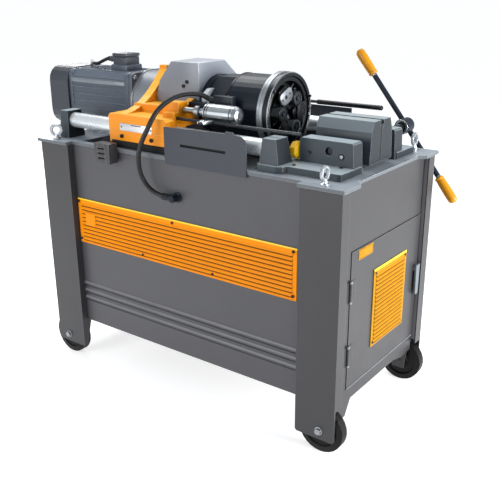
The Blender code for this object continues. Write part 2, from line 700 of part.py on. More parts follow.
# ---------------------------------------------------------------- carriage
def make_saddle(materials, carriage):
    """The yellow casting that rides on both bars and carries the motor and the gearbox."""
    split = BAR_Z + 0.0002
    feet, bores = [], []
    for sign in (-1, 1):
        foot = [(SADDLE_LEFT, split), (SADDLE_RIGHT, split), (SADDLE_RIGHT, SADDLE_FOOT_TOP - 0.008),
                (SADDLE_RIGHT - 0.008, SADDLE_FOOT_TOP), (SADDLE_LEFT + 0.008, SADDLE_FOOT_TOP),
                (SADDLE_LEFT, SADDLE_FOOT_TOP - 0.008)]
        feet.append(prism(foot, "Y", sign * 0.160, sign * SADDLE_FACE))
        bores.append(cylinder("X", (sign * BAR_Y, BAR_Z), (-0.400, 0.050),
                              BAR_RADIUS + GAP, 36))
    bed = box((-0.2535, -0.052), (-0.170, 0.170), (0.880, SADDLE_BED))
    web = prism(mirrored_web_outline(), "X", -0.2535, -0.222)
    low_web = prism(mirrored_outline_z([(0.165, 0.890), (0.160, 0.930), (0.130, 0.950),
                                        (0.108, 0.960), (0.106, 0.925)]), "X", -0.075, -0.052)
    lugs = [box((-0.100, SADDLE_RIGHT), (-0.192, -0.150), (0.895, 0.957)),
            box((-0.090, SADDLE_RIGHT), (-0.214, -0.184), (0.895, 0.928)),
            box((-0.090, SADDLE_RIGHT), (0.225, 0.248), (0.900, 0.925)),
            box((-0.090, SADDLE_RIGHT), (0.225, 0.268), (0.918, 0.940))]
    spindle_hole = cylinder("X", (0, MOTOR_Z), (-0.300, -0.200), 0.060, 32)
    solid("saddle", materials["orange"], carriage, (-0.17, 0, BAR_Z),
          feet + [bed, web, low_web] + lugs, bores + [spindle_hole])
    for side, sign in (("front", -1), ("rear", 1)):
        cap = box((SADDLE_LEFT, SADDLE_RIGHT), (sign * 0.162, sign * (SADDLE_FACE - 0.002)),
                  (0.820, BAR_Z - 0.0002))
        bore = cylinder("X", (sign * BAR_Y, BAR_Z), (-0.400, 0.050), BAR_RADIUS + GAP, 36)
        solid(f"bearing_cap_{side}", materials["orange"], carriage,
              (-0.17, sign * BAR_Y, BAR_Z), [cap], [bore])


def mirrored_outline_z(points):
    """An outline of (y, z) points on the +Y side, closed by its mirror image."""
    return points + [(-y, z) for y, z in reversed(points)]


def mirrored_web_outline():
    """The tall web: a flat foot, a hollow sweep up to the ears, and a notched top."""
    sweep = [(0.240, 0.900), (0.235, 0.912), (0.200, 0.920)]
    for y in (0.175, 0.150, 0.125, 0.100, 0.075, 0.055, 0.045):
        run = 0.200 - y
        sweep.append((y, 0.920 + 0.243 * run + 3.13 * run ** 2))
    sweep += [(0.044, 1.046), (0.026, 1.046), (0.020, 1.036)]
    return mirrored_outline_z(sweep)


def make_gearbox(material, carriage):
    """The grey gear casing, its output flange and the coolant block beside the head."""
    bed = SADDLE_BED + GAP
    casing = prism([(-0.218, bed), (-0.038, bed), (-0.038, 1.068), (-0.152, 1.068),
                    (-0.205, 1.004), (-0.2195, 0.955)], "Y", -0.100, 0.100)
    chamfer = prism([(0.031, 1.080), (0.031, 1.070), (0.100, 1.015), (0.120, 1.000),
                     (0.120, 1.080)], "X", -0.260, 0.010)
    flange = cylinder("X", (0, HEAD_Z), (-0.045, -0.0155), 0.100, 36, 0.002)
    arm = box((-0.050, 0.060), (-0.138, -0.116), (0.940, 0.954))
    strut = box((-0.050, -0.022), (-0.130, -0.090), (0.940, 0.954))
    block = box((0.050, 0.122), (-0.141, -0.116), (0.944, 0.981))
    solid("gearbox", material, carriage, (-0.13, 0, bed), [casing, flange, arm, strut, block],
          [chamfer])


def make_motor(materials, carriage):
    body = prism(rounded_outline(MOTOR_WIDTH, MOTOR_WIDTH, (0, MOTOR_Z), 0.045), "X",
                 MOTOR_BACK, -0.3700)
    flange = prism(rounded_outline(0.196, 0.196, (0, MOTOR_Z), 0.030, 3), "X", -0.3705, -0.333)
    nose = turned([(-0.340, 0), (-0.340, 0.104), (-0.268, 0.104), (-0.262, 0.100),
                   (-0.2538, 0.100), (-0.2538, 0)], "X", (0, MOTOR_Z), 32)
    seat = frustum((-0.505, -0.400, -0.052, 0.052), (-0.488, -0.417, -0.034, 0.034),
                   (1.000, 1.034))
    terminal = box((-0.4855, -0.4195), (-0.032, 0.032), (1.030, 1.072))
    gland = cylinder("X", (-0.012, 1.050), (-0.513, -0.480), 0.011, 12)
    solid("motor", materials["grey"], carriage, (-0.45, 0, MOTOR_Z),
          [body, flange, nose, seat, terminal, gland])
    outline = rounded_outline(FAN_COVER_WIDTH, FAN_COVER_WIDTH, (0, FAN_COVER_Z), 0.048)
    cover = prism(outline, "X", -0.750, MOTOR_BACK - GAP)
    back = frustum_x((-0.768, 0.176), (-0.749, FAN_COVER_WIDTH), 0.046)
    solid("fan_cover", materials["grey"], carriage, (-0.70, 0, FAN_COVER_Z), [cover, back])


def frustum_x(small, large, radius):
    """A rounded square cap between two (x, width) stations, around the fan cover's middle."""
    bm = bmesh.new()
    rows = []
    for x, width in (small, large):
        scale = width / large[1]
        points = rounded_outline(width, width, (0, FAN_COVER_Z), radius * scale)
        rows.append([bm.verts.new((x, y, z)) for y, z in points])
    bm.faces.new(rows[0])
    bm.faces.new(rows[1])
    count = len(rows[0])
    for i in range(count):
        j = (i + 1) % count
        bm.faces.new((rows[0][i], rows[0][j], rows[1][j], rows[1][i]))
    return shape_from(bm)


def make_stop_rods(materials, carriage):
    start = SADDLE_RIGHT + GAP
    rod = cylinder("X", (-0.200, 0.911), (start, 0.405), 0.005, 12)
    dog = prism(rounded_outline(0.018, 0.050, (0.088, -0.224), 0.004, 2), "Z", 0.9125, 0.9190)
    hole = cylinder("Z", (0.088, -0.238), (0.900, 0.930), 0.004, 10)
    solid("front_stop_rod", materials["steel"], carriage, (0, -0.200, 0.911), [rod, dog],
          [hole])
    rear = cylinder("X", (0.2535, 0.925), (start, 0.420), 0.005, 12)
    solid("rear_stop_rod", materials["dark"], carriage, (0, 0.2535, 0.925), [rear])
    profile = [(start, 0), (start, 0.009), (0.010, 0.009), (0.010, 0.017), (0.026, 0.017),
               (0.026, 0.011), (0.054, 0.011), (0.054, 0.0275), (0.160, 0.0275),
               (0.172, 0.022), (0.175, 0.012), (0.175, 0)]
    barrel = turned(profile, "X", (-0.170, 0.934), 20)
    solid("reset_barrel", materials["steel"], carriage, (0.054, -0.170, 0.934), [barrel])


def make_head(materials, head):
    """The turning head: drum, rim ring and the roller cage seen in its mouth."""
    axis = (0, HEAD_Z)
    drum = [(-0.0145, 0.022), (-0.0145, 0.086), (-0.0105, 0.090), (0.066, 0.090),
            (0.066, 0.107), (0.070, 0.110), (0.228, 0.110), (0.230, 0.108), (0.230, 0.096),
            (0.140, 0.096), (0.140, 0.022)]
    solid("head_drum", materials["black"], head, (0, *axis),
          [turned(drum, "X", axis, 40, closed=True)])
    ring = [(0.196, 0.1103), (0.196, 0.120), (0.199, 0.123), (0.232, 0.123), (0.236, 0.119),
            (0.236, 0.1103)]
    solid("head_ring", materials["steel"], head, (0.216, *axis),
          [turned(ring, "X", axis, 40, closed=True)])
    plate = turned([(0.1403, 0.024), (0.1403, 0.092), (0.176, 0.092), (0.180, 0.088),
                    (0.180, 0.024)], "X", axis, 32, closed=True)
    pieces = [plate]
    for index in range(3):
        turn = math.radians(100 + 120 * index)
        pieces.append(roller_block(turn))
        roller_turn = turn + math.radians(60)
        centre = (0.058 * math.cos(roller_turn), HEAD_Z + 0.058 * math.sin(roller_turn))
        pieces.append(cylinder("X", centre, (0.175, 0.222), 0.022, 16, 0.003))
    solid("roller_cage", materials["steel"], head, (0.16, *axis), pieces)


def roller_block(turn):
    """A cutter holder: a block on the cage, set along a radius."""
    out = Vector((math.cos(turn), math.sin(turn)))
    side = Vector((-out.y, out.x))
    corners = []
    for reach, half in ((0.032, 0.012), (0.032, -0.012), (0.084, -0.020), (0.084, 0.020)):
        point = out * reach + side * half
        corners.append((point.x, HEAD_Z + point.y))
    return prism(corners, "X", 0.176, 0.214)


def pinion_outline(centre):
    """Teeth with thinned involute-like flanks; a tooth points straight down at rest."""
    x, z = centre
    half_at_pitch = (math.pi * PINION_MODULE / 4 - 0.0005) / PINION_RADIUS
    radii = ((PINION_RADIUS - 0.0046, 1.32), (PINION_RADIUS, 1.0),
             (PINION_RADIUS + 0.0036, 0.42))
    points = []
    for tooth in range(PINION_TEETH):
        middle = math.tau * tooth / PINION_TEETH - math.pi / 2
        flank = [(radius, middle - half_at_pitch * share) for radius, share in radii]
        flank += [(radius, middle + half_at_pitch * share) for radius, share in reversed(radii)]
        points += [(x + r * math.cos(a), z + r * math.sin(a)) for r, a in flank]
    return points


def make_feed_wheel(materials, parent):
    """The capstan on the operator's side, with its shaft and pinion in one piece."""
    centre = (FEED_X, BAR_Z)
    pinion = prism(pinion_outline(centre), "Y", FEED_Y + 0.0010, FEED_Y + 0.0145)
    shaft = cylinder("Y", centre, (SADDLE_FACE + GAP, 0.330), 0.010, 20)
    hub = cylinder("Y", centre, (0.300, 0.334), 0.026, 28, 0.003)
    pieces = [pinion, shaft, hub]
    for index in range(3):
        turn = math.radians(90 + 120 * index)
        out = Vector((math.cos(turn), 0, math.sin(turn)))
        middle = Vector((FEED_X, 0.318, BAR_Z))
        pieces.append(rod_between(middle, middle + out * 0.105, 0.006, 10))
        pieces.append(rod_between(middle + out * 0.082, middle + out * 0.120, 0.013, 12))
    solid("feed_wheel", materials["black"], parent, (FEED_X, 0.318, BAR_Z), pieces)


# ---------------------------------------------------------------- hose and cable
HOSE_ROUTE = [(0.0497, -0.130, 0.965), (0.032, -0.130, 0.965), (0.012, -0.146, 0.980),
              (-0.012, -0.175, 0.985), (-0.036, -0.205, 0.979), (-0.055, -0.232, 0.963),
              (-0.070, -0.255, 0.941), (-0.079, -0.273, 0.915), (-0.088, -0.287, 0.885),
              (-0.104, -0.300, 0.842), (-0.113, -0.306, 0.795), (-0.107, -0.304, 0.746),
              (-0.083, -0.294, 0.704), (-0.044, -0.2815, 0.684), (-0.0223, -0.2815, 0.684)]

CABLE_ROUTE = [(-0.5133, -0.012, 1.050), (-0.530, -0.012, 1.050), (-0.560, -0.010, 1.040),
               (-0.590, -0.004, 1.0305), (-0.626, 0.010, 1.0275), (-0.664, 0.033, 1.0275),
               (-0.699, 0.060, 1.0265), (-0.720, 0.091, 1.014), (-0.725, 0.117, 0.984),
               (-0.718, 0.128, 0.949), (-0.698, 0.132, 0.917), (-0.664, 0.134, 0.896),
               (-0.622, 0.135, 0.889), (-0.580, 0.135, 0.889), (-0.545, 0.135, 0.882),
               (-0.524, 0.135, 0.864), (-0.520, 0.135, 0.843), (-0.520, 0.135, 0.8283)]


def make_cords(materials, carriage):
    cord("coolant_hose", materials["black"], carriage, HOSE_ROUTE, HOSE_RADIUS)
    cord("motor_cable", materials["black"], carriage, CABLE_ROUTE, CABLE_RADIUS)


# ---------------------------------------------------------------- whole machine
def make_materials():
    table = {
        "grey": ((0.095, 0.095, 0.100), 0.45, 0.0),
        "dark": ((0.060, 0.062, 0.066), 0.45, 0.0),
        "cast": ((0.120, 0.130, 0.135), 0.55, 0.2),
        "table": ((0.230, 0.235, 0.240), 0.45, 0.0),
        "casing": ((0.260, 0.270, 0.285), 0.40, 0.0),
        "orange": ((0.900, 0.380, 0.020), 0.40, 0.0),
        "black": ((0.012, 0.012, 0.013), 0.35, 0.0),
        "steel": ((0.600, 0.610, 0.620), 0.22, 1.0),
        "zinc": ((0.620, 0.630, 0.640), 0.35, 1.0),
        "green": ((0.020, 0.350, 0.060), 0.40, 0.0),
        "red": ((0.550, 0.020, 0.015), 0.40, 0.0),
    }
    return {name: make_material(name, *values) for name, values in table.items()}


def centre_on_floor(root, left_out):
    """Move the machine so that the middle of its box on the floor is the origin."""
    bpy.context.view_layer.update()
    corners = [obj.matrix_world @ Vector(corner)
               for obj in bpy.data.objects
               if obj.type == "MESH" and obj.name not in left_out
               for corner in obj.bound_box]
    low = [min(corner[axis] for corner in corners) for axis in range(3)]
    high = [max(corner[axis] for corner in corners) for axis in range(3)]
    root.location = (-(low[0] + high[0]) / 2, -(low[1] + high[1]) / 2, -low[2])


def main():
    clear_scene()
    materials = make_materials()
    root = make_empty("machine", (0, 0, 0))
    carriage = make_empty("carriage_axis", (0, 0, BAR_Z), root)
    head = make_empty("head_axis", (0, 0, HEAD_Z), carriage)
    feed = make_empty("feed_axis", (FEED_X, 0.318, BAR_Z), carriage)
    spindle = make_empty("screw_axis", (SCREW_X, 0, SCREW_Z), root)
    hinge = make_empty("hinge_axis", (HINGE_X, HINGE_Y, 0.390), root)
    latch = make_empty("latch_axis", (DOOR_FACE, LATCH_Y, LATCH_Z), hinge)
    make_cabinet(materials, root)
    for end, sign_x in (("left", -1), ("right", 1)):
        for side, sign_y in (("front", -1), ("rear", 1)):
            make_wheel(f"wheel_{side}_{end}", sign_x * WHEEL_X, sign_y * WHEEL_Y,
                       materials["black"], root)
    make_door(materials, hinge, latch)
    make_side_fittings(materials, root)
    make_button("start_button", -0.345, materials["green"], root)
    make_button("stop_button", -0.275, materials["red"], root)
    make_guides(materials, root)
    make_rack(materials["steel"], root)
    make_vise(materials, root)
    make_jaw("jaw_front", -1, materials["cast"], root)
    make_jaw("jaw_rear", 1, materials["cast"], root)
    make_vise_screw(materials, spindle)
    make_saddle(materials, carriage)
    make_gearbox(materials["casing"], carriage)
    make_motor(materials, carriage)
    make_stop_rods(materials, carriage)
    make_head(materials, head)
    make_feed_wheel(materials, feed)
    make_cords(materials, carriage)
    centre_on_floor(root, ("coolant_hose", "motor_cable"))


main()
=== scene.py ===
"""Looks of the bar and pipe threading machine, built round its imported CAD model.

Positions are in metres in the table's frame: its origin is on the floor under the middle of
the table top, +X towards the vise, -Y the side seen in front, +Z up.
"""
import math

import bmesh
import bpy
from mathutils import Matrix, Vector


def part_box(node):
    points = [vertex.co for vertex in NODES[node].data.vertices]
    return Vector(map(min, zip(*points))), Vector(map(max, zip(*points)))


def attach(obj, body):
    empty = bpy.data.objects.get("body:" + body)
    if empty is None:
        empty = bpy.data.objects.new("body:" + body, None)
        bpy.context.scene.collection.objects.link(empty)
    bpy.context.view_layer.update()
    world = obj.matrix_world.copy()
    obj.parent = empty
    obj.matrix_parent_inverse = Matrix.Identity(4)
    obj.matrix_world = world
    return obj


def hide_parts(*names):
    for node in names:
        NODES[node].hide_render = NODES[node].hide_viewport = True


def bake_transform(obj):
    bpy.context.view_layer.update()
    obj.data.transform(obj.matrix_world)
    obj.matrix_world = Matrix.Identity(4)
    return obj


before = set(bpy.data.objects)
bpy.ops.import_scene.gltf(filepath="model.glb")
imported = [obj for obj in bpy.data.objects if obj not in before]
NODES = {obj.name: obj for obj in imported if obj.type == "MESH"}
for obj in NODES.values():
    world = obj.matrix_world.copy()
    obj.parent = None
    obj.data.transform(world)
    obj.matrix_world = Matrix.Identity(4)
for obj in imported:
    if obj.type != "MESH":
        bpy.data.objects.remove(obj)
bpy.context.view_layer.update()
TABLE_LOW, TABLE_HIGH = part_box("table_top")
ORIGIN = Vector(((TABLE_LOW.x + TABLE_HIGH.x) / 2, (TABLE_LOW.y + TABLE_HIGH.y) / 2, 0.0))

X_AXIS, Y_AXIS, Z_AXIS = Vector((1, 0, 0)), Vector((0, 1, 0)), Vector((0, 0, 1))
FRONT = -Y_AXIS

HEAD_Z = 0.927                   # axis of the head and the gearbox
HEAD_MIDDLE = (0, 0, HEAD_Z)
MOTOR_Z = 0.920                  # axis of the motor
LEVER_X, LEVER_Z = 0.465, 0.863  # axis of the vise's screw and lever
DIE_TURNS = (116, 236, 356)      # degrees round the head, from +Y towards +Z
ROLLER_TURNS = (176, 296, 416)   # one roller halfway between each pair of dies
ROLLER_REACH = 0.050
DIE_FORWARD = 0.028              # how far the die cage stands out of the drum
FINE_ROUND = 72                  # sides of the head's large rings

# The camera
CAMERA_AT = Vector((1.4761, -1.8843, 1.2983))
CAMERA_AZIMUTH, CAMERA_ELEVATION, CAMERA_ROLL = 36.4716, 19.8686, -0.2597
CAMERA_LENS, CAMERA_SENSOR = 53.134, 36.0

# The studio
SKY_COLOUR, SKY_STRENGTH = (0.93, 0.96, 1.0, 1), 0.62
FLOOR_SIZE = 400
FLOOR_COLOUR, FLOOR_GLOW = (0.70, 0.70, 0.70, 1), 0.58

# The cords' routes, as in the CAD source
HOSE_RADIUS, CABLE_RADIUS = 0.0075, 0.006
HOSE_ROUTE = [
    (0.0497, -0.130, 0.965), (0.032, -0.130, 0.965), (0.012, -0.146, 0.980),
    (-0.012, -0.175, 0.985), (-0.036, -0.205, 0.979), (-0.055, -0.232, 0.963),
    (-0.070, -0.255, 0.941), (-0.079, -0.273, 0.915), (-0.088, -0.287, 0.885),
    (-0.104, -0.300, 0.842), (-0.113, -0.306, 0.795), (-0.107, -0.304, 0.746),
    (-0.083, -0.294, 0.704), (-0.044, -0.2815, 0.684), (-0.0223, -0.2815, 0.684)]
CABLE_ROUTE = [
    (-0.5133, -0.012, 1.050), (-0.530, -0.012, 1.050), (-0.560, -0.010, 1.040),
    (-0.590, -0.004, 1.0305), (-0.626, 0.010, 1.0275), (-0.664, 0.033, 1.0275),
    (-0.699, 0.060, 1.0265), (-0.720, 0.091, 1.014), (-0.725, 0.117, 0.984),
    (-0.718, 0.128, 0.949), (-0.698, 0.132, 0.917), (-0.664, 0.134, 0.896),
    (-0.622, 0.135, 0.889), (-0.580, 0.135, 0.889), (-0.545, 0.135, 0.882),
    (-0.524, 0.135, 0.864), (-0.520, 0.135, 0.843), (-0.520, 0.135, 0.8283)]


# ---------------- camera, light and floor

def place_camera():
    """The camera, from its place, direction, roll and lens."""
    azimuth, elevation, roll = (math.radians(a) for a in (
        CAMERA_AZIMUTH, CAMERA_ELEVATION, CAMERA_ROLL))
    back = Vector((math.sin(azimuth) * math.cos(elevation),
                   -math.cos(azimuth) * math.cos(elevation), math.sin(elevation)))
    right = (-back).cross(Z_AXIS).normalized()
    up = right.cross(-back)
    turned_right = right * math.cos(roll) + up * math.sin(roll)
    turned_up = up * math.cos(roll) - right * math.sin(roll)
    camera = bpy.data.objects.new("camera", bpy.data.cameras.new("camera"))
    camera.data.lens = CAMERA_LENS
    camera.data.sensor_width = CAMERA_SENSOR
    matrix = Matrix((turned_right, turned_up, back)).transposed().to_4x4()
    matrix.translation = ORIGIN + CAMERA_AT
    camera.matrix_world = matrix
    bpy.context.scene.collection.objects.link(camera)
    bpy.context.scene.camera = camera


def area_light(name, place, target, size, power, spread=180):
    """A square light that shines on the target; spread is its beam's angle in degrees."""
    light = bpy.data.lights.new(name, "AREA")
    light.shape = "SQUARE"
    light.size = size
    light.energy = power
    light.spread = math.radians(spread)
    lamp = bpy.data.objects.new(name, light)
    lamp.location = ORIGIN + Vector(place)
    lamp.rotation_euler = (Vector(target) - Vector(place)).to_track_quat("-Z", "Y").to_euler()
    bpy.context.scene.collection.objects.link(lamp)


def light_the_studio():
    """Four soft lights, an even sky, and a white backdrop that only the camera sees."""
    area_light("key", (4.2, 0.5, 1.2), (0, 0, 0.9), size=1.6, power=50, spread=60)
    area_light("front_fill", (-1.3, -4.2, 1.6), (0, 0, 0.6), size=2.2, power=102)
    area_light("overhead", (-1.2, 0.9, 3.4), (0, 0, 0.8), size=2.2, power=90)
    area_light("back_fill", (-3.4, 1.8, 1.3), (0, 0, 0.7), size=1.6, power=50)
    world = bpy.data.worlds.new("studio")
    world.use_nodes = True
    background = put(world.node_tree.nodes["Background"], Color=SKY_COLOUR,
                     Strength=SKY_STRENGTH)
    backdrop = node(world.node_tree, "ShaderNodeBackground", Color=(1, 1, 1, 1), Strength=1.0)
    rays = world.node_tree.nodes.new("ShaderNodeLightPath")
    choice = world.node_tree.nodes.new("ShaderNodeMixShader")
    join = world.node_tree.links.new
    join(rays.outputs["Is Camera Ray"], choice.inputs[0])
    join(background.outputs[0], choice.inputs[1])
    join(backdrop.outputs[0], choice.inputs[2])
    join(choice.outputs[0], world.node_tree.nodes["World Output"].inputs["Surface"])
    bpy.context.scene.world = world
    bpy.context.scene.view_settings.view_transform = "Standard"


def lay_floor():
    """A white floor that stays bright and still takes the machine's shadow."""
    bpy.ops.mesh.primitive_plane_add(size=FLOOR_SIZE, location=(0, 0, 0))
    floor = bpy.context.object
    floor.name = "floor"
    paint = bpy.data.materials.new("floor_white")
    paint.use_nodes = True
    put(paint.node_tree.nodes["Principled BSDF"], Base_Color=FLOOR_COLOUR, Roughness=0.9,
        Specular_IOR_Level=0.0, Emission_Color=(1, 1, 1, 1), Emission_Strength=FLOOR_GLOW)
    floor.data.materials.append(paint)


# ---------------- materials

COAT_ROUGHNESS = 0.08
DRIFT_RANGE = (0.3, 0.7)         # the part of the noise that the colour drift uses
ROUGH_SPREAD = 0.07
GRAIN_DEPTH = 0.0003
BEVEL_SAMPLES = 4


def linear(code):
    """A six-digit colour code as linear red, green, blue."""
    parts = [int(code[i:i + 2], 16) / 255 for i in (0, 2, 4)]
    return [p / 12.92 if p <= 0.04045 else ((p + 0.055) / 1.055) ** 2.4 for p in parts]


def put(made, **inputs):
    """Set a shader node's inputs; an underscore stands for a space in a name."""
    for name, value in inputs.items():
        made.inputs[name.replace("_", " ")].default_value = value
    return made


def node(tree, kind, **inputs):
    """A new shader node with these inputs set."""
    return put(tree.nodes.new(kind), **inputs)


def finish(name, colour, rough, metal=0.0, blotch=0.08, blotch_scale=7.0, grain=0.1,
           grain_scale=700.0, stretch=(1, 1, 1), edge=0.0012, edge_highlight=None, edge_highlight_strength=0.7, coat=0.0,
           spec=0.35, top=None, side=None):
    """A surface with colour drift, fine grain, softened edges and, where asked, a painted
    highlight along the edges, a lighter colour on the faces that look up (top), a painted
    highlight, and a darker one on the faces that look to the right (side), a painted shade."""
    made = bpy.data.materials.new(name)
    made.use_nodes = True
    tree = made.node_tree
    link = tree.links.new
    shader = put(tree.nodes["Principled BSDF"], Metallic=metal, Specular_IOR_Level=spec,
                 Coat_Weight=coat, Coat_Roughness=COAT_ROUGHNESS)
    base = linear(colour)

    place = tree.nodes.new("ShaderNodeTexCoord")
    drift = node(tree, "ShaderNodeTexNoise", Scale=blotch_scale, Detail=5.0, Roughness=0.55)
    link(place.outputs["Object"], drift.inputs["Vector"])
    ramp = tree.nodes.new("ShaderNodeValToRGB")
    for stop, position, change in zip(ramp.color_ramp.elements, DRIFT_RANGE, (-blotch, blotch)):
        stop.position = position
        stop.color = [min(1, c * (1 + change)) for c in base] + [1]
    link(drift.outputs["Fac"], ramp.inputs["Fac"])
    spread = node(tree, "ShaderNodeMapRange", From_Min=DRIFT_RANGE[0], From_Max=DRIFT_RANGE[1],
                  To_Min=max(0.02, rough - ROUGH_SPREAD), To_Max=rough + ROUGH_SPREAD)
    link(drift.outputs["Fac"], spread.inputs["Value"])
    link(spread.outputs["Result"], shader.inputs["Roughness"])

    bevel = node(tree, "ShaderNodeBevel", Radius=edge)
    bevel.samples = BEVEL_SAMPLES
    scaled = node(tree, "ShaderNodeMapping", Scale=stretch)
    link(place.outputs["Object"], scaled.inputs["Vector"])
    fine = node(tree, "ShaderNodeTexNoise", Scale=grain_scale, Detail=2.0, Roughness=0.6)
    link(scaled.outputs["Vector"], fine.inputs["Vector"])
    bump = node(tree, "ShaderNodeBump", Strength=grain, Distance=GRAIN_DEPTH)
    link(fine.outputs["Fac"], bump.inputs["Height"])
    link(bevel.outputs["Normal"], bump.inputs["Normal"])
    link(bump.outputs["Normal"], shader.inputs["Normal"])

    paint = ramp.outputs["Color"]
    # Painted light and shade: faces that look up turn to the lighter top colour, faces that look
    # to the right to the darker side colour.
    for axis, other in (("Z", top), ("X", side)):
        if other:
            paint = light_facing_paint(tree, place, paint, axis, other)
    # Painted highlight: the edges lighten in patches, as where they catch the light.
    if edge_highlight:
        paint = edge_highlight_paint(tree, place, bevel, paint, edge_highlight, edge_highlight_strength)
    link(paint, shader.inputs["Base Color"])
    return made


def light_facing_paint(tree, place, paint, axis, other):
    """Painted light and shade: the paint, turning into the given colour on faces that look along
    the axis; a lighter colour paints light, a darker one shade.
    """
    link = tree.links.new
    parts = tree.nodes.new("ShaderNodeSeparateXYZ")
    link(place.outputs["Normal"], parts.inputs["Vector"])
    light_facing = node(tree, "ShaderNodeMapRange", From_Min=0.1, From_Max=0.95,
                  To_Min=0.0, To_Max=1.0)
    link(parts.outputs[axis], light_facing.inputs["Value"])
    mix = node(tree, "ShaderNodeMixRGB", Color2=linear(other) + [1])
    link(light_facing.outputs["Result"], mix.inputs["Fac"])
    link(paint, mix.inputs["Color1"])
    return mix.outputs["Color"]


def edge_highlight_paint(tree, place, bevel, paint, edge_highlight, edge_highlight_strength):
    """The paint, lightened in patches along the edges to the edge highlight colour: a painted
    highlight.
    """
    link = tree.links.new
    surface = tree.nodes.new("ShaderNodeNewGeometry")
    bend = tree.nodes.new("ShaderNodeVectorMath")
    bend.operation = "DOT_PRODUCT"
    link(bevel.outputs["Normal"], bend.inputs[0])
    link(surface.outputs["Normal"], bend.inputs[1])
    edge_highlight_mask = node(tree, "ShaderNodeMapRange", From_Min=0.995, From_Max=0.9,
                  To_Min=0.0, To_Max=edge_highlight_strength)
    link(bend.outputs["Value"], edge_highlight_mask.inputs["Value"])
    patches = node(tree, "ShaderNodeTexNoise", Scale=45.0, Detail=4.0)
    link(place.outputs["Object"], patches.inputs["Vector"])
    patchy = tree.nodes.new("ShaderNodeMath")
    patchy.operation = "MULTIPLY"
    link(edge_highlight_mask.outputs["Result"], patchy.inputs[0])
    link(patches.outputs["Fac"], patchy.inputs[1])
    mix = node(tree, "ShaderNodeMixRGB", Color2=linear(edge_highlight) + [1])
    link(patchy.outputs["Value"], mix.inputs["Fac"])
    link(paint, mix.inputs["Color1"])
    return mix.outputs["Color"]
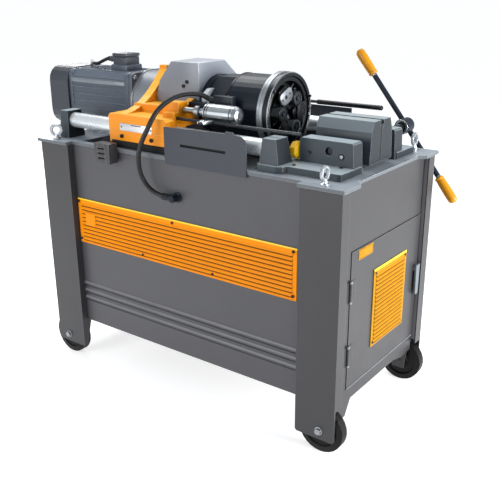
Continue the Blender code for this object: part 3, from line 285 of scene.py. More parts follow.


# The finish of each of the record's material slots, and of the small pieces' own.
# The colours for edges and for faces that look up are painted highlights; the colour for
# faces that look to the right is painted shade.
FINISHES = {
    "cabinet_grey": dict(colour="353537", rough=0.40, grain=0.16, grain_scale=520,
                         edge_highlight="a8a8aa", blotch=0.05),
    "table_grey": dict(colour="565b60", rough=0.30, top="8e969e", grain=0.12, grain_scale=520,
                       edge_highlight="d8dce0", edge_highlight_strength=0.8, blotch=0.05),
    "dark_grey": dict(colour="2f333b", rough=0.42, grain=0.16, edge_highlight="7c8288", edge_highlight_strength=0.6),
    "casing_grey": dict(colour="3f4853", rough=0.38, top="4f5864", grain=0.25, grain_scale=380,
                        edge_highlight="a4adb6", edge_highlight_strength=0.6, edge=0.002),
    "orange_paint": dict(colour="df8202", rough=0.40, spec=0.1, grain=0.2, grain_scale=420,
                         edge_highlight="ffc93c", edge_highlight_strength=0.9, edge=0.0016, blotch=0.05),
    "black_enamel": dict(colour="181e27", rough=0.34, spec=0.14, grain=0.05, edge_highlight="4a4e54",
                         edge_highlight_strength=0.4, edge=0.0015),
    # Painted highlight on the faces that look up, painted shade on the faces that look to the
    # right.
    "cast_grey": dict(colour="323c43", rough=0.36, top="98a4aa", side="1c2226", grain=0.3,
                      grain_scale=330, spec=0.28, edge_highlight="b7c2c6", edge_highlight_strength=0.8, edge=0.0022),
    "ground_steel": dict(colour="d4dade", rough=0.30, metal=0.6, grain=0.05, grain_scale=260,
                         stretch=(14, 1, 1), blotch=0.04, edge=0.0008),
    "machined_steel": dict(colour="9aa0a4", rough=0.28, metal=1.0, grain=0.12, grain_scale=420,
                           stretch=(1, 9, 9), edge=0.001),
    "zinc_plate": dict(colour="b6bbc0", rough=0.34, metal=0.9, grain=0.15, blotch=0.12,
                       blotch_scale=38, edge=0.001),
    "wheel_rubber": dict(colour="070708", rough=0.50, spec=0.2, grain=0.35, grain_scale=620,
                         edge_highlight="4c4d50", edge_highlight_strength=0.4, edge=0.003),
    "hose_black": dict(colour="101113", rough=0.42, grain=0.3, grain_scale=900, blotch=0.15,
                       edge=0.0006),
    "grip_orange": dict(colour="ac7304", rough=0.40, spec=0.2, grain=0.35, grain_scale=600,
                        coat=0.15, edge=0.001),
    "button_green": dict(colour="1d8a3c", rough=0.3, grain=0.05, edge=0.001),
    "button_red": dict(colour="b81c1c", rough=0.3, grain=0.05, edge=0.001),
    "bolt_steel": dict(colour="8e9296", rough=0.32, metal=0.85, blotch=0.15, blotch_scale=60,
                       edge=0.0005),
    "bolt_black": dict(colour="1a1b1e", rough=0.42, metal=0.4, grain=0.12, blotch=0.15,
                       blotch_scale=60, edge=0.0005),
    "plate_silver": dict(colour="c3c5c8", rough=0.34, metal=0.7, grain_scale=500,
                         stretch=(1, 12, 12), edge=0.0004),
    "shadow_black": dict(colour="08090a", rough=0.8, grain=0.2, edge=0.0004),
    "pale_casting": dict(colour="b4b9bf", rough=0.42, grain=0.2, grain_scale=420, edge_highlight="eceef0",
                         edge_highlight_strength=0.6),
    "gear_grey": dict(colour="6d727b", rough=0.32, top="9ba0a8", grain=0.2, grain_scale=400,
                      edge_highlight="d4d8dc", edge=0.002),
    "bell_grey": dict(colour="70767d", rough=0.36, metal=0.3, grain=0.15, edge_highlight="d4d8dc",
                      edge=0.0015),
    "latch_grey": dict(colour="6f777e", rough=0.36, metal=0.5),
    "dark_steel": dict(colour="26282b", rough=0.28, metal=0.8, grain=0.12, grain_scale=380,
                       blotch=0.2, edge_highlight="9a9ea2", edge=0.001),
    "roller_steel": dict(colour="3f4347", rough=0.26, metal=0.9, grain=0.08, blotch=0.15,
                         edge=0.0006),
    "plate_steel": dict(colour="84898e", rough=0.34, metal=0.7, grain=0.15, blotch=0.2,
                        blotch_scale=40, edge=0.001),
    "saddle_paint": dict(colour="d9840a", rough=0.34, grain=0.2, grain_scale=420, edge_highlight="ffe28a",
                         edge_highlight_strength=0.9, edge=0.0022, blotch=0.06, spec=0.3, top="f0ae38"),
    # A lighter copy of the cabinet grey for the front panel: painted light where the recessed
    # panel is in shade.
    "panel_grey": dict(colour="444448", rough=0.40, grain=0.16, grain_scale=520, edge_highlight="a8a8aa",
                       blotch=0.05),
    # Painted shade on the lower slopes of the front panel's ridges.
    "ridge_shade_grey": dict(colour="232326", rough=0.5, grain=0.16, grain_scale=520),
    # Painted highlight, on the panel ridges' upper slopes and in the corner posts' channels.
    "glint_grey": dict(colour="6e6e72", rough=0.36, grain=0.16, grain_scale=520),
    "door_yellow": dict(colour="9a6c03", rough=0.40, spec=0.1, grain=0.2, grain_scale=420,
                        edge_highlight="ffd84a", edge=0.0016, blotch=0.05),
    # A lighter copy of the orange paint: painted highlight on the louvres' top rims.
    "rim_highlight": dict(colour="ffbe1a", rough=0.34, spec=0.25, grain=0.15, top="ffe25a",
                       edge=0.0008),
    "yellow_plastic": dict(colour="e8b40c", rough=0.35, grain=0.15, coat=0.2),
    # Dark orange: the painted shade between the louvres' slats, and the door plate's border.
    "dark_orange": dict(colour="6c3a02", rough=0.7, spec=0.1, grain=0.2, edge=0.0004),
    "bright_rim": dict(colour="d5d9dc", rough=0.2, metal=1.0, grain=0.06, grain_scale=300,
                       stretch=(10, 1, 1), edge=0.0008),
}


# ---------------- shapes

SHARP_EDGE = 0.5                 # radians; edges that bend more are rounded off
SMOOTH_ANGLE = 38                # degrees; faces that meet at less are shaded as one
CURVE_STEPS = 6                  # steps between a route's points, or round a corner


class Shape:
    """A piece put together from solids with softened edges."""

    def __init__(self):
        self.mesh = bmesh.new()

    def _add(self, part, bevel):
        """Join a solid to the piece, with its sharp edges rounded off by the bevel."""
        bmesh.ops.recalc_face_normals(part, faces=part.faces)
        if bevel:
            sharp = [e for e in part.edges if e.is_manifold and e.calc_face_angle() > SHARP_EDGE]
            bmesh.ops.bevel(part, geom=sharp, offset=bevel, segments=2, profile=0.5,
                            affect="EDGES")
        scratch = bpy.data.meshes.new("scratch")
        part.to_mesh(scratch)
        part.free()
        self.mesh.from_mesh(scratch)
        bpy.data.meshes.remove(scratch)
        return self

    def box(self, low, high, bevel=0.001):
        """A box between two corners."""
        low, high = Vector(low), Vector(high)
        part = bmesh.new()
        bmesh.ops.create_cube(part, size=1)
        for v in part.verts:
            v.co = Vector((low[i] + (v.co[i] + 0.5) * (high[i] - low[i]) for i in range(3)))
        return self._add(part, bevel)

    def prism(self, axis, outline, low, high, bevel, cut=None):
        """A prism along "x", "y" or "z" with the outline in the other two, in their order.
        cut is a (point, outward direction) plane that takes off what lies outside it."""
        at = {"x": lambda p, d: (d, *p), "y": lambda p, d: (p[0], d, p[1]),
              "z": lambda p, d: (*p, d)}[axis]
        part = bmesh.new()
        near = [part.verts.new(at(p, low)) for p in outline]
        far = [part.verts.new(at(p, high)) for p in outline]
        part.faces.new(near)
        part.faces.new(list(reversed(far)))
        for i in range(len(outline)):
            j = (i + 1) % len(outline)
            part.faces.new((near[i], far[i], far[j], near[j]))
        if cut:
            everything = part.verts[:] + part.edges[:] + part.faces[:]
            sliced = bmesh.ops.bisect_plane(part, geom=everything, plane_co=cut[0],
                                            plane_no=cut[1], clear_outer=True)
            edges = [e for e in sliced["geom_cut"] if isinstance(e, bmesh.types.BMEdge)]
            bmesh.ops.contextual_create(part, geom=edges)
        return self._add(part, bevel)

    def turned(self, at, axis, profile, sides=32, phase=0.0):
        """A turned solid. Each row of the profile is a distance along the axis and a radius,
        and a third number where the row is a hexagon."""
        axis = Vector(axis).normalized()
        across = axis.orthogonal().normalized()
        upward = axis.cross(across)
        part = bmesh.new()
        rings = []
        for row in profile:
            middle = Vector(at) + axis * row[0]
            if row[1] == 0:
                rings.append([part.verts.new(middle)])
                continue
            ring = []
            for k in range(sides):
                angle = 2 * math.pi * k / sides + phase
                reach = row[1]
                if len(row) > 2:
                    turn = (angle - phase) % (math.pi / 3) - math.pi / 6
                    reach *= math.cos(math.pi / 6) / math.cos(turn)
                ring.append(part.verts.new(
                    middle + (across * math.cos(angle) + upward * math.sin(angle)) * reach))
            rings.append(ring)
        for a, b in zip(rings, rings[1:]):
            for k in range(sides):
                j = (k + 1) % sides
                corners = [a[k % len(a)], a[j % len(a)], b[j % len(b)], b[k % len(b)]]
                part.faces.new(list(dict.fromkeys(corners)))
        return self._add(part, 0)

    def ring(self, at, axis, rows, sides, phase=0.0):
        """A turned solid with a hole through it: the profile closes on its first row."""
        return self.turned(at, axis, rows + rows[:1], sides, phase)

    def tube(self, points, radius, sides=16):
        """A tube along points, closed at both ends."""
        points = [Vector(p) for p in points]
        part = bmesh.new()
        rings = []
        across = (points[1] - points[0]).orthogonal().normalized()
        for i, p in enumerate(points):
            ahead = (points[min(i + 1, len(points) - 1)] - points[max(i - 1, 0)]).normalized()
            across = (across - ahead * across.dot(ahead)).normalized()
            side = ahead.cross(across)
            rings.append([part.verts.new(p + (
                across * math.cos(2 * math.pi * k / sides)
                + side * math.sin(2 * math.pi * k / sides)) * radius) for k in range(sides)])
        for a, b in zip(rings, rings[1:]):
            for k in range(sides):
                part.faces.new((a[k], a[(k + 1) % sides], b[(k + 1) % sides], b[k]))
        part.faces.new(rings[0])
        part.faces.new(list(reversed(rings[-1])))
        return self._add(part, 0)

    def hex_bolt(self, at, axis, across, height, washer=True):
        """A six-sided head, with its washer, standing on the surface at."""
        r = across / 2 / math.cos(math.pi / 6)
        lift = 0.0
        if washer:
            lift = height * 0.25
            self.turned(at, axis, [(-0.0003, 0), (-0.0003, r * 1.18), (lift * 0.7, r * 1.18),
                                   (lift, r * 1.1), (lift, 0)], 24)
        top = lift + height
        return self.turned(at, axis, [(lift, 0), (lift, r, 6), (top - height * 0.2, r, 6),
                                      (top, r * 0.84), (top, 0)], 24)

    def socket_bolt(self, at, axis, radius, height):
        """A round head with a six-sided socket, standing on the surface at."""
        soft, well = radius * 0.12, radius * 0.55
        return self.turned(at, axis, [
            (-0.0003, 0), (-0.0003, radius), (height - soft, radius), (height, radius - soft),
            (height, well, 6), (height * 0.35, well, 6), (height * 0.35, 0)], 24)

    def cross_screw(self, at, axis, radius, height):
        """A low domed screw head with a dimple."""
        return self.turned(at, axis, [
            (-0.0003, 0), (-0.0003, radius), (height * 0.35, radius),
            (height * 0.8, radius * 0.75), (height, radius * 0.35),
            (height * 0.4, radius * 0.2), (height * 0.4, 0)], 20)

    def forward(self, distance):
        """Move what is there so far along the machine."""
        for vertex in self.mesh.verts:
            vertex.co.x += distance
        return self

    def done(self, name, body, look, slot=None, stands_for=(), rides=True):
        """Make the piece, in this look, and put it on its body."""
        mesh = bpy.data.meshes.new(name)
        bmesh.ops.translate(self.mesh, verts=self.mesh.verts, vec=ORIGIN)
        self.mesh.to_mesh(mesh)
        self.mesh.free()
        mesh.shade_smooth()
        mesh.set_sharp_from_angle(angle=math.radians(SMOOTH_ANGLE))
        mesh.materials.append(LOOKS[look])
        piece = bpy.data.objects.new(name, mesh)
        bpy.context.scene.collection.objects.link(piece)
        if rides:
            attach(piece, body)
        if stands_for:
            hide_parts(*stands_for)
        return piece


def smooth_route(route):
    """Points along one smooth curve through the route's points."""
    p = [Vector(q) for q in route]
    p = [p[0] * 2 - p[1]] + p + [p[-1] * 2 - p[-2]]
    out = []
    for a, b, c, d in zip(p, p[1:], p[2:], p[3:]):
        for k in range(CURVE_STEPS):
            t = k / CURVE_STEPS
            out.append(0.5 * (b * 2 + (c - a) * t + (a * 2 - b * 5 + c * 4 - d) * t * t
                              + (b * 3 - a - c * 3 + d) * t ** 3))
    return out + [p[-2]]


def circle(centre, radius, count, start=0.0):
    """Points spaced evenly round a circle, from the start angle in radians."""
    return [(centre[0] + radius * math.cos(start + 2 * math.pi * k / count),
             centre[1] + radius * math.sin(start + 2 * math.pi * k / count))
            for k in range(count)]


# ---------------- cords

def make_cord(name, route, radius, node_name):
    """A cord: a tube along a smooth curve from the carriage to the table."""
    line = smooth_route(route)
    cord = Shape().tube(line, radius).done(
        name, "root", "hose_black", "hose_black", [node_name], rides=False)
    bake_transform(cord)


def cord_sleeve(name, body, at, axis, radius, length):
    """A clamped sleeve with two crimped grooves, over the end of a cord."""
    r = radius * 1.42
    rows = [(length * share, r * reach) for share, reach in (
        (0, 0), (0, 1), (0.2, 1), (0.25, 0.92), (0.33, 0.92), (0.38, 1), (0.6, 1), (0.65, 0.92),
        (0.73, 0.92), (0.78, 1), (0.96, 1), (1, 0.9), (1, 0))]
    return Shape().turned(at, axis, rows).done(name, body, "bolt_black", "zinc_plate")


def make_cords():
    """The coolant hose and the motor cable, with a sleeve on each end."""
    hose_ends = [cord_sleeve(name, body, at, -X_AXIS, HOSE_RADIUS, 0.018) for name, body, at in (
        ("hose_sleeve_upper", "carriage", (0.0495, -0.130, 0.965)),
        ("hose_sleeve_lower", "root", (-0.0225, -0.2815, 0.684)))]
    make_cord("coolant_hose_skin", HOSE_ROUTE, HOSE_RADIUS, "coolant_hose")
    cable_ends = [
        cord_sleeve("cable_nut_upper", "carriage", (-0.5130, -0.012, 1.050), -X_AXIS,
                    CABLE_RADIUS, 0.012),
        cord_sleeve("cable_nut_lower", "root", (-0.520, 0.135, 0.8285), Z_AXIS,
                    CABLE_RADIUS, 0.012)]
    make_cord("motor_cable_skin", CABLE_ROUTE, CABLE_RADIUS, "motor_cable")


# ---------------- cabinet and table

def cabinet_details():
    """The axle nuts, the strips that close the corner posts, in a lighter grey as painted light,
    and the long louvre's screws.
    """
    nuts = Shape()
    for x in (-0.541, 0.541):
        for y, out in ((-0.289, FRONT), (0.289, Y_AXIS)):
            nuts.hex_bolt((x, y, 0.0735), out, 0.019, 0.007)
    nuts.done("axle_nuts", "root", "bolt_steel", "zinc_plate")

    # Painted light: lighter strips where the corner posts' channels lie in shade.
    returns = Shape()
    for side in (-1, 1):
        for end in (-1, 1):
            x = sorted((side * 0.5756, side * 0.5914))
            y = sorted((end * 0.2494, end * 0.2514))
            returns.box((x[0], y[0], 0.163), (x[1], y[1], 0.7907), 0.0005)
    returns.done("post_returns", "root", "glint_grey", "cabinet_grey")

    louvre = Shape()
    for z, row in ((0.4635, (-0.4475, -0.154, 0.139, 0.431)), (0.598, (-0.4475, -0.02, 0.431))):
        for x in row:
            louvre.cross_screw((x, -0.2692, z), FRONT, 0.0046, 0.0024)
    louvre.done("front_louvre_screws", "root", "bolt_black")
    Shape().box((-0.418, -0.2702, 0.520), (-0.372, -0.2690, 0.563), 0.0004).done(
        "louvre_plate", "root", "orange_paint", "orange_paint")


def door_details():
    """The door louvre's screws, a blank plate with a border, and the hinge pins' heads."""
    screws = Shape()
    for y in (-0.052, 0.142):
        for z in (0.274, 0.500):
            screws.cross_screw((0.5808, y, z), X_AXIS, 0.0042, 0.0022)
    screws.done("door_louvre_screws", "cabinet_door", "bolt_black")

    Shape().box((0.5771, -0.160, 0.5715), (0.5781, -0.076, 0.6020), 0.0004).done(
        "door_blank_plate", "cabinet_door", "door_yellow", "orange_paint")
    border = Shape()
    for y0, y1, z0, z1 in ((-0.156, -0.080, 0.5982, 0.5990), (-0.156, -0.080, 0.5745, 0.5753),
                           (-0.156, -0.1552, 0.5745, 0.5990), (-0.0808, -0.080, 0.5745, 0.5990)):
        border.box((0.5780, y0, z0), (0.5783, y1, z1), 0)
    border.done("door_plate_border", "cabinet_door", "dark_orange", "orange_paint")

    heads = Shape()
    for z in (0.490, 0.290):
        for end, axis in ((z + 0.030, Z_AXIS), (z - 0.030, -Z_AXIS)):
            heads.turned((0.5805, -0.2045, end), axis,
                         [(-0.0030, 0), (-0.0030, 0.0056), (0.0028, 0.0056), (0.0046, 0.0036),
                          (0.0048, 0)], 16)
    heads.done("hinge_pin_heads", "root", "bolt_steel", "zinc_plate")


def deck_details():
    """Painted shade in the groove along the table's right edge, and the bolts of the vise's
    ledges.
    """
    # Painted shade: a dark strip in the groove above the lip.
    Shape().box((0.5775, -0.170, 0.8036), (0.5800, 0.170, 0.8044), 0.0002).done(
        "deck_groove", "root", "shadow_black")
    Shape().box((0.5802, -0.170, 0.8036), (0.5822, 0.170, 0.8052), 0.0004).done(
        "deck_lip", "root", "table_grey", "table_grey")
    bolts = Shape()
    for x, y in ((0.3855, -0.2026), (0.510, -0.158), (0.3855, 0.2026), (0.510, 0.158)):
        bolts.socket_bolt((x, y, 0.8236), Z_AXIS, 0.0055, 0.0030)
    bolts.done("ledge_bolts", "root", "bolt_black")


def control_box_details():
    """The lid's screws, and a metal ring round each button."""
    screws = Shape()
    for x in (-0.388, -0.232):
        for z in (0.572, 0.708):
            screws.cross_screw((x, 0.3248, z), Y_AXIS, 0.0035, 0.0018)
    screws.done("control_box_screws", "root", "bolt_steel", "zinc_plate")
    for name, x in (("start_bezel", -0.345), ("stop_bezel", -0.275)):
        Shape().ring((x, 0.3249, 0.660), Y_AXIS, [
            (0, 0.0165), (0.0022, 0.0165), (0.0030, 0.0157), (0.0030, 0.0148),
            (0, 0.0148)], 32).done(name, "root", "bolt_steel", "zinc_plate")


def switch_box():
    """The travel switch's box: three cable slots, one above the other, in its face."""
    x0, x1, z0, z1, face = -0.308, -0.240, 0.760, 0.824, -0.3065
    half_slot = 0.0028
    box = Shape().box((x0, face + 0.005, z0), (x1, -0.2687, z1), 0.003)
    box.box((x0, face, z0), (-0.293, face + 0.006, z1), 0.0012)
    box.box((-0.263, face, z0), (x1, face + 0.006, z1), 0.0012)
    edges = [z0] + [z + s * half_slot for z in (0.776, 0.7915, 0.807) for s in (-1, 1)] + [z1]
    for low, high in zip(edges[::2], edges[1::2]):
        box.box((-0.294, face, low), (-0.262, face + 0.006, high), 0.0004)
    box.done("switch_box_shell", "root", "cabinet_grey", "cabinet_grey", ["switch_box"])
    Shape().box((-0.295, face + 0.004, z0 + 0.006), (-0.261, face + 0.0052, z1 - 0.006),
                0.0002).done("switch_box_slots", "root", "shadow_black")


# ---------------- motor, saddle and gearbox

def motor_outline():
    """A square section with rounded corners, its four sides ribbed with cooling fins."""
    root, tip, half_fin = 0.0915, 0.095, 0.0017
    quarter = [(-0.082, 0.082), (-0.073, root)]
    for u in (-0.066, -0.054, -0.036, -0.012, 0.012, 0.036, 0.054, 0.066):
        quarter += [(u - half_fin - 0.0004, root), (u - half_fin, tip - 0.0006),
                    (u - half_fin + 0.0006, tip), (u + half_fin - 0.0006, tip),
                    (u + half_fin, tip - 0.0006), (u + half_fin + 0.0004, root)]
    quarter.append((0.073, root))
    outline = []
    for turn in range(4):
        c, s = round(math.cos(turn * math.pi / 2)), round(math.sin(turn * math.pi / 2))
        outline += [(c * u + s * v, -s * u + c * v) for u, v in quarter]
    return [(y, MOTOR_Z + z) for y, z in outline]


def motor_flange(half, radius):
    """A square with rounded corners round the motor's axis."""
    out = []
    for sx, sz, start in ((1, 1, 0), (-1, 1, 90), (-1, -1, 180), (1, -1, 270)):
        for k in range(CURVE_STEPS + 1):
            a = math.radians(start + 90 * k / CURVE_STEPS)
            out.append((sx * (half - radius) + radius * math.cos(a),
                        MOTOR_Z + sz * (half - radius) + radius * math.sin(a)))
    return out


def motor():
    """The finned casing with its flanges, and the terminal box with the cable's nut."""
    shell = Shape().prism("x", motor_outline(), -0.640, -0.370, 0)
    for half, radius, low, high, bevel in (
            (0.0950, 0.030, -0.653, -0.636, 0.002), (0.0980, 0.022, -0.3705, -0.352, 0.002),
            (0.0980, 0.022, -0.350, -0.333, 0.002), (0.0955, 0.022, -0.353, -0.349, 0)):
        shell.prism("x", motor_flange(half, radius), low, high, bevel)
    shell.prism("z", [(-0.505, -0.052), (-0.400, -0.052), (-0.400, 0.052), (-0.505, 0.052)],
                0.995, 1.008, 0.003)
    shell.box((-0.492, -0.038, 1.005), (-0.413, 0.038, 1.034), 0.004)
    shell.done("motor_shell", "carriage", "casing_grey", "casing_grey", ["motor"])

    Shape().turned((-0.340, 0, MOTOR_Z), X_AXIS, [
        (0, 0), (0, 0.104), (0.008, 0.1045), (0.010, 0.1035), (0.012, 0.1005), (0.074, 0.097),
        (0.076, 0.0995), (0.0845, 0.1000), (0.0862, 0.0985), (0.0862, 0)], 64).done(
            "motor_bell", "carriage", "bell_grey", "casing_grey")

    ribs = Shape()
    for side in (-1, 1):
        ribs.prism("x", [(side * 0.0910, 0.968), (side * 0.0962, 0.972), (side * 0.0966, 0.980),
                         (side * 0.0958, 0.985), (side * 0.0910, 0.986)],
                   -0.6395, -0.3700, 0.0012)
    ribs.done("motor_ribs", "carriage", "bell_grey", "casing_grey")

    box = Shape().box((-0.4855, -0.032, 1.030), (-0.4195, 0.032, 1.060), 0.003)
    box.box((-0.4875, -0.034, 1.0605), (-0.4175, 0.034, 1.072), 0.0035)
    box.turned((-0.4850, -0.012, 1.050), -X_AXIS, [
        (0, 0), (0, 0.0125, 6), (0.010, 0.0125, 6), (0.012, 0.0105), (0.028, 0.0105),
        (0.028, 0)], 24)
    box.done("terminal_box", "carriage", "dark_grey", "dark_grey")


def motor_fittings():
    """The motor's bolts, and the grille of rings at the fan's end."""
    corner, fan_corner = 0.083, 0.86 * 0.083
    bolts = Shape()
    for y in (-1, 1):
        for z in (-1, 1):
            bolts.hex_bolt((-0.3330, y * corner, MOTOR_Z + z * corner), X_AXIS, 0.013, 0.006)
            bolts.socket_bolt((-0.6530, y * fan_corner, MOTOR_Z + z * fan_corner), -X_AXIS,
                              0.0045, 0.003)
    for x in (-0.480, -0.425):
        for y in (-0.0265, 0.0265):
            bolts.cross_screw((x, y, 1.0718), Z_AXIS, 0.003, 0.0016)
    bolts.done("motor_bolts", "carriage", "bolt_steel", "zinc_plate")

    grille = Shape()
    for r in (0.018, 0.032, 0.046, 0.060, 0.074):
        grille.ring((-0.7680, 0, 0.916), -X_AXIS, [
            (-0.0010, r + 0.0022), (0.0012, r + 0.0020), (0.0020, r), (0.0012, r - 0.0020),
            (-0.0010, r - 0.0022)], 48)
    grille.done("fan_grille_rings", "carriage", "casing_grey", "casing_grey")
    Shape().turned((-0.7676, 0, 0.916), -X_AXIS, [
        (0, 0), (0, 0.079), (0.0006, 0.079), (0.0006, 0)], 48).done(
            "fan_grille_back", "carriage", "shadow_black")


def saddle_details():
    """The blank plate on the saddle's front, and the bolts of its bearings."""
    Shape().box((-0.2415, -0.2518, 0.8615), (-0.1045, -0.2498, 0.8850), 0.0006).done(
        "saddle_plate", "carriage", "plate_silver", "zinc_plate")
    Shape().box((-0.192, -0.2524, 0.8800), (-0.148, -0.2514, 0.8828), 0.0004).done(
        "saddle_plate_slot", "carriage", "shadow_black")
    bolts = Shape()
    for x in (-0.2364, -0.1083):
        for side in (-1, 1):
            bolts.socket_bolt((x, side * 0.2498, 0.8432), Y_AXIS * side, 0.0062, 0.005)
    for x in (-0.2345, -0.1090):
        bolts.cross_screw((x, -0.2517, 0.8735), FRONT, 0.0026, 0.0014)
    bolts.done("saddle_bolts", "carriage", "bolt_black")


def gearbox():
    """The grey casing, and the black output flange and coolant block beside the head."""
    casing = Shape().prism("y", [
        (-0.218, 0.9373), (-0.038, 0.9373), (-0.038, 1.068), (-0.152, 1.068), (-0.205, 1.004),
        (-0.2195, 0.955)], -0.100, 0.100, 0.003, cut=((0, 0.031, 1.070), (0, 0.055, 0.069)))
    casing.done("gearbox_casing", "carriage", "gear_grey", "casing_grey", ["gearbox"])
    flange = Shape().turned((-0.0450, 0, HEAD_Z), X_AXIS, [
        (0, 0), (0, 0.099), (0.002, 0.100), (0.0275, 0.100), (0.0295, 0.098), (0.0295, 0)], 56)
    flange.box((-0.050, -0.138, 0.940), (0.060, -0.116, 0.954), 0.002)
    flange.box((-0.050, -0.130, 0.940), (-0.022, -0.090, 0.954), 0.002)
    flange.box((0.050, -0.141, 0.944), (0.122, -0.116, 0.981), 0.0035)
    flange.done("gearbox_arm", "carriage", "black_enamel", "black_enamel")
    web = Shape().prism("x", [(-0.1185, 0.9535), (-0.1185, 0.976), (-0.093, 0.992),
                              (-0.070, 0.992), (-0.090, 0.9535)], -0.0125, 0.004, 0.0015)
    web.prism("y", [(0.050, 0.9540), (0.018, 0.9540), (0.050, 0.974)], -0.133, -0.121, 0.001)
    web.done("coolant_arm_web", "carriage", "pale_casting", "casing_grey")

    plugs = Shape()
    for x, z in ((-0.0861, 1.0074), (-0.1006, 0.9935)):
        plugs.socket_bolt((x, -0.0998, z), FRONT, 0.0060, 0.0040)
    plugs.done("gearbox_plugs", "carriage", "bolt_black")
    bolts = Shape()
    for y in (-0.080, 0.080):
        bolts.socket_bolt((-0.0378, y, 0.952), X_AXIS, 0.0045, 0.0035)
    for y, z in circle((0, HEAD_Z), 0.0935, 8, math.pi / 8):
        bolts.hex_bolt((-0.0158, y, z), X_AXIS, 0.010, 0.0008, washer=False)
    bolts.done("gearbox_bolts", "carriage", "bolt_steel", "zinc_plate")


# ---------------- turning head

def around_head(angle, reach, across=0.0):
    """(y, z) at a reach along a radius of the head, and a distance across it."""
    a = math.radians(angle)
    return (reach * math.cos(a) - across * math.sin(a),
            HEAD_Z + reach * math.sin(a) + across * math.cos(a))


def head_ring(name, look, rows, body="head", slot="machined_steel", stands_for=(),
              sides=FINE_ROUND, phase=0.0):
    """A ring round the head's axis."""
    Shape().ring(HEAD_MIDDLE, X_AXIS, rows, sides, phase).done(
        name, body, look, slot, stands_for)


def head():
    """The rings on the drum, and the eight-sided cover behind it."""
    head_ring("head_band", "plate_steel", [
        (0.196, 0.1103), (0.196, 0.1205), (0.1985, 0.1229), (0.2060, 0.1229), (0.2066, 0.1222),
        (0.2076, 0.1222), (0.2082, 0.1229), (0.2165, 0.1229), (0.2180, 0.1215),
        (0.2180, 0.1103)], stands_for=["head_ring"])
    head_ring("head_rim", "dark_steel", [
        (0.2182, 0.1103), (0.2182, 0.1200), (0.2192, 0.1213), (0.2335, 0.1220),
        (0.2360, 0.1200), (0.2360, 0.1175), (0.2345, 0.1165), (0.2345, 0.1125),
        (0.2358, 0.1115), (0.2358, 0.1103)])
    head_ring("head_edge", "plate_steel", [
        (0.2336, 0.1206), (0.2342, 0.1224), (0.2352, 0.1220), (0.2364, 0.1206),
        (0.2364, 0.1196)])
    head_ring("head_cover", "black_enamel", [
        (-0.0120, 0.0985), (-0.0120, 0.1050), (-0.0105, 0.1065), (0.0585, 0.1065),
        (0.0600, 0.1050), (0.0600, 0.0985)], "carriage", "black_enamel", sides=8,
        phase=math.pi / 8)
    head_ring("head_lip", "dark_steel", [
        (0.2302, 0.0962), (0.2302, 0.1085), (0.2312, 0.1085), (0.2316, 0.1075),
        (0.2316, 0.0975), (0.2310, 0.0962)])
    head_ring("head_step", "dark_steel", [
        (0.0690, 0.1095), (0.0690, 0.1106), (0.0705, 0.1112), (0.0745, 0.1112),
        (0.0755, 0.1104), (0.0755, 0.1095)], slot="black_enamel")


def die_cage():
    """The cage in the drum, with three dies and three rollers turn about."""
    cage = Shape().ring(HEAD_MIDDLE, X_AXIS, [
        (0.1403, 0.024), (0.1403, 0.092), (0.172, 0.092), (0.176, 0.088), (0.176, 0.070),
        (0.168, 0.068), (0.168, 0.064), (0.186, 0.062), (0.190, 0.058), (0.190, 0.030),
        (0.186, 0.024)], 64)
    for turn in DIE_TURNS:
        holder = [around_head(turn, r, w) for r, w in (
            (0.022, 0.006), (0.022, -0.006), (0.034, -0.016), (0.084, -0.021), (0.084, 0.021),
            (0.034, 0.016))]
        cage.prism("x", holder, 0.188, 0.206, 0.0015)
        cage.turned((0.174, *around_head(turn + 60, 0.080)), X_AXIS, [
            (0, 0), (0, 0.006), (0.022, 0.006), (0.024, 0.004), (0.024, 0)], 20)
    cage.forward(DIE_FORWARD)
    cage.ring(HEAD_MIDDLE, X_AXIS, [
        (0.1403, 0.024), (0.1403, 0.086), (0.172, 0.086), (0.172, 0.024)], 48)
    cage.done("die_cage", "head", "dark_steel", "machined_steel", ["roller_cage"])

    rollers = Shape()
    for turn in ROLLER_TURNS:
        rows = [(0.186, 0), (0.186, 0.022)]
        for ridge in range(9):
            x = 0.189 + 0.003 * ridge
            rows += [(x, 0.0205), (x + 0.0015, 0.022)]
        rows += [(0.2165, 0.0205), (0.2175, 0.018), (0.2175, 0.011), (0.2155, 0.010),
                 (0.2155, 0.0062), (0.2200, 0.0060), (0.2210, 0.005), (0.2210, 0)]
        rollers.turned((0, *around_head(turn, ROLLER_REACH)), X_AXIS, rows, 40)
    rollers.forward(DIE_FORWARD).done("thread_rollers", "head", "roller_steel", "machined_steel")

    # Painted light and shade: the first die's plate is a lighter steel, as if lit, the other two
    # a darker steel, as if in shade.
    for index, look in enumerate(("plate_steel", "dark_steel", "dark_steel")):
        outline = [around_head(DIE_TURNS[index], r, w) for r, w in (
            (0.038, 0.018), (0.036, -0.016), (0.044, -0.030), (0.070, -0.032), (0.078, -0.020),
            (0.080, 0.024), (0.070, 0.033), (0.048, 0.031))]
        Shape().prism("x", outline, 0.2062, 0.2145, 0.0012).forward(DIE_FORWARD).done(
            f"die_plate_{index + 1}", "head", look, "machined_steel")


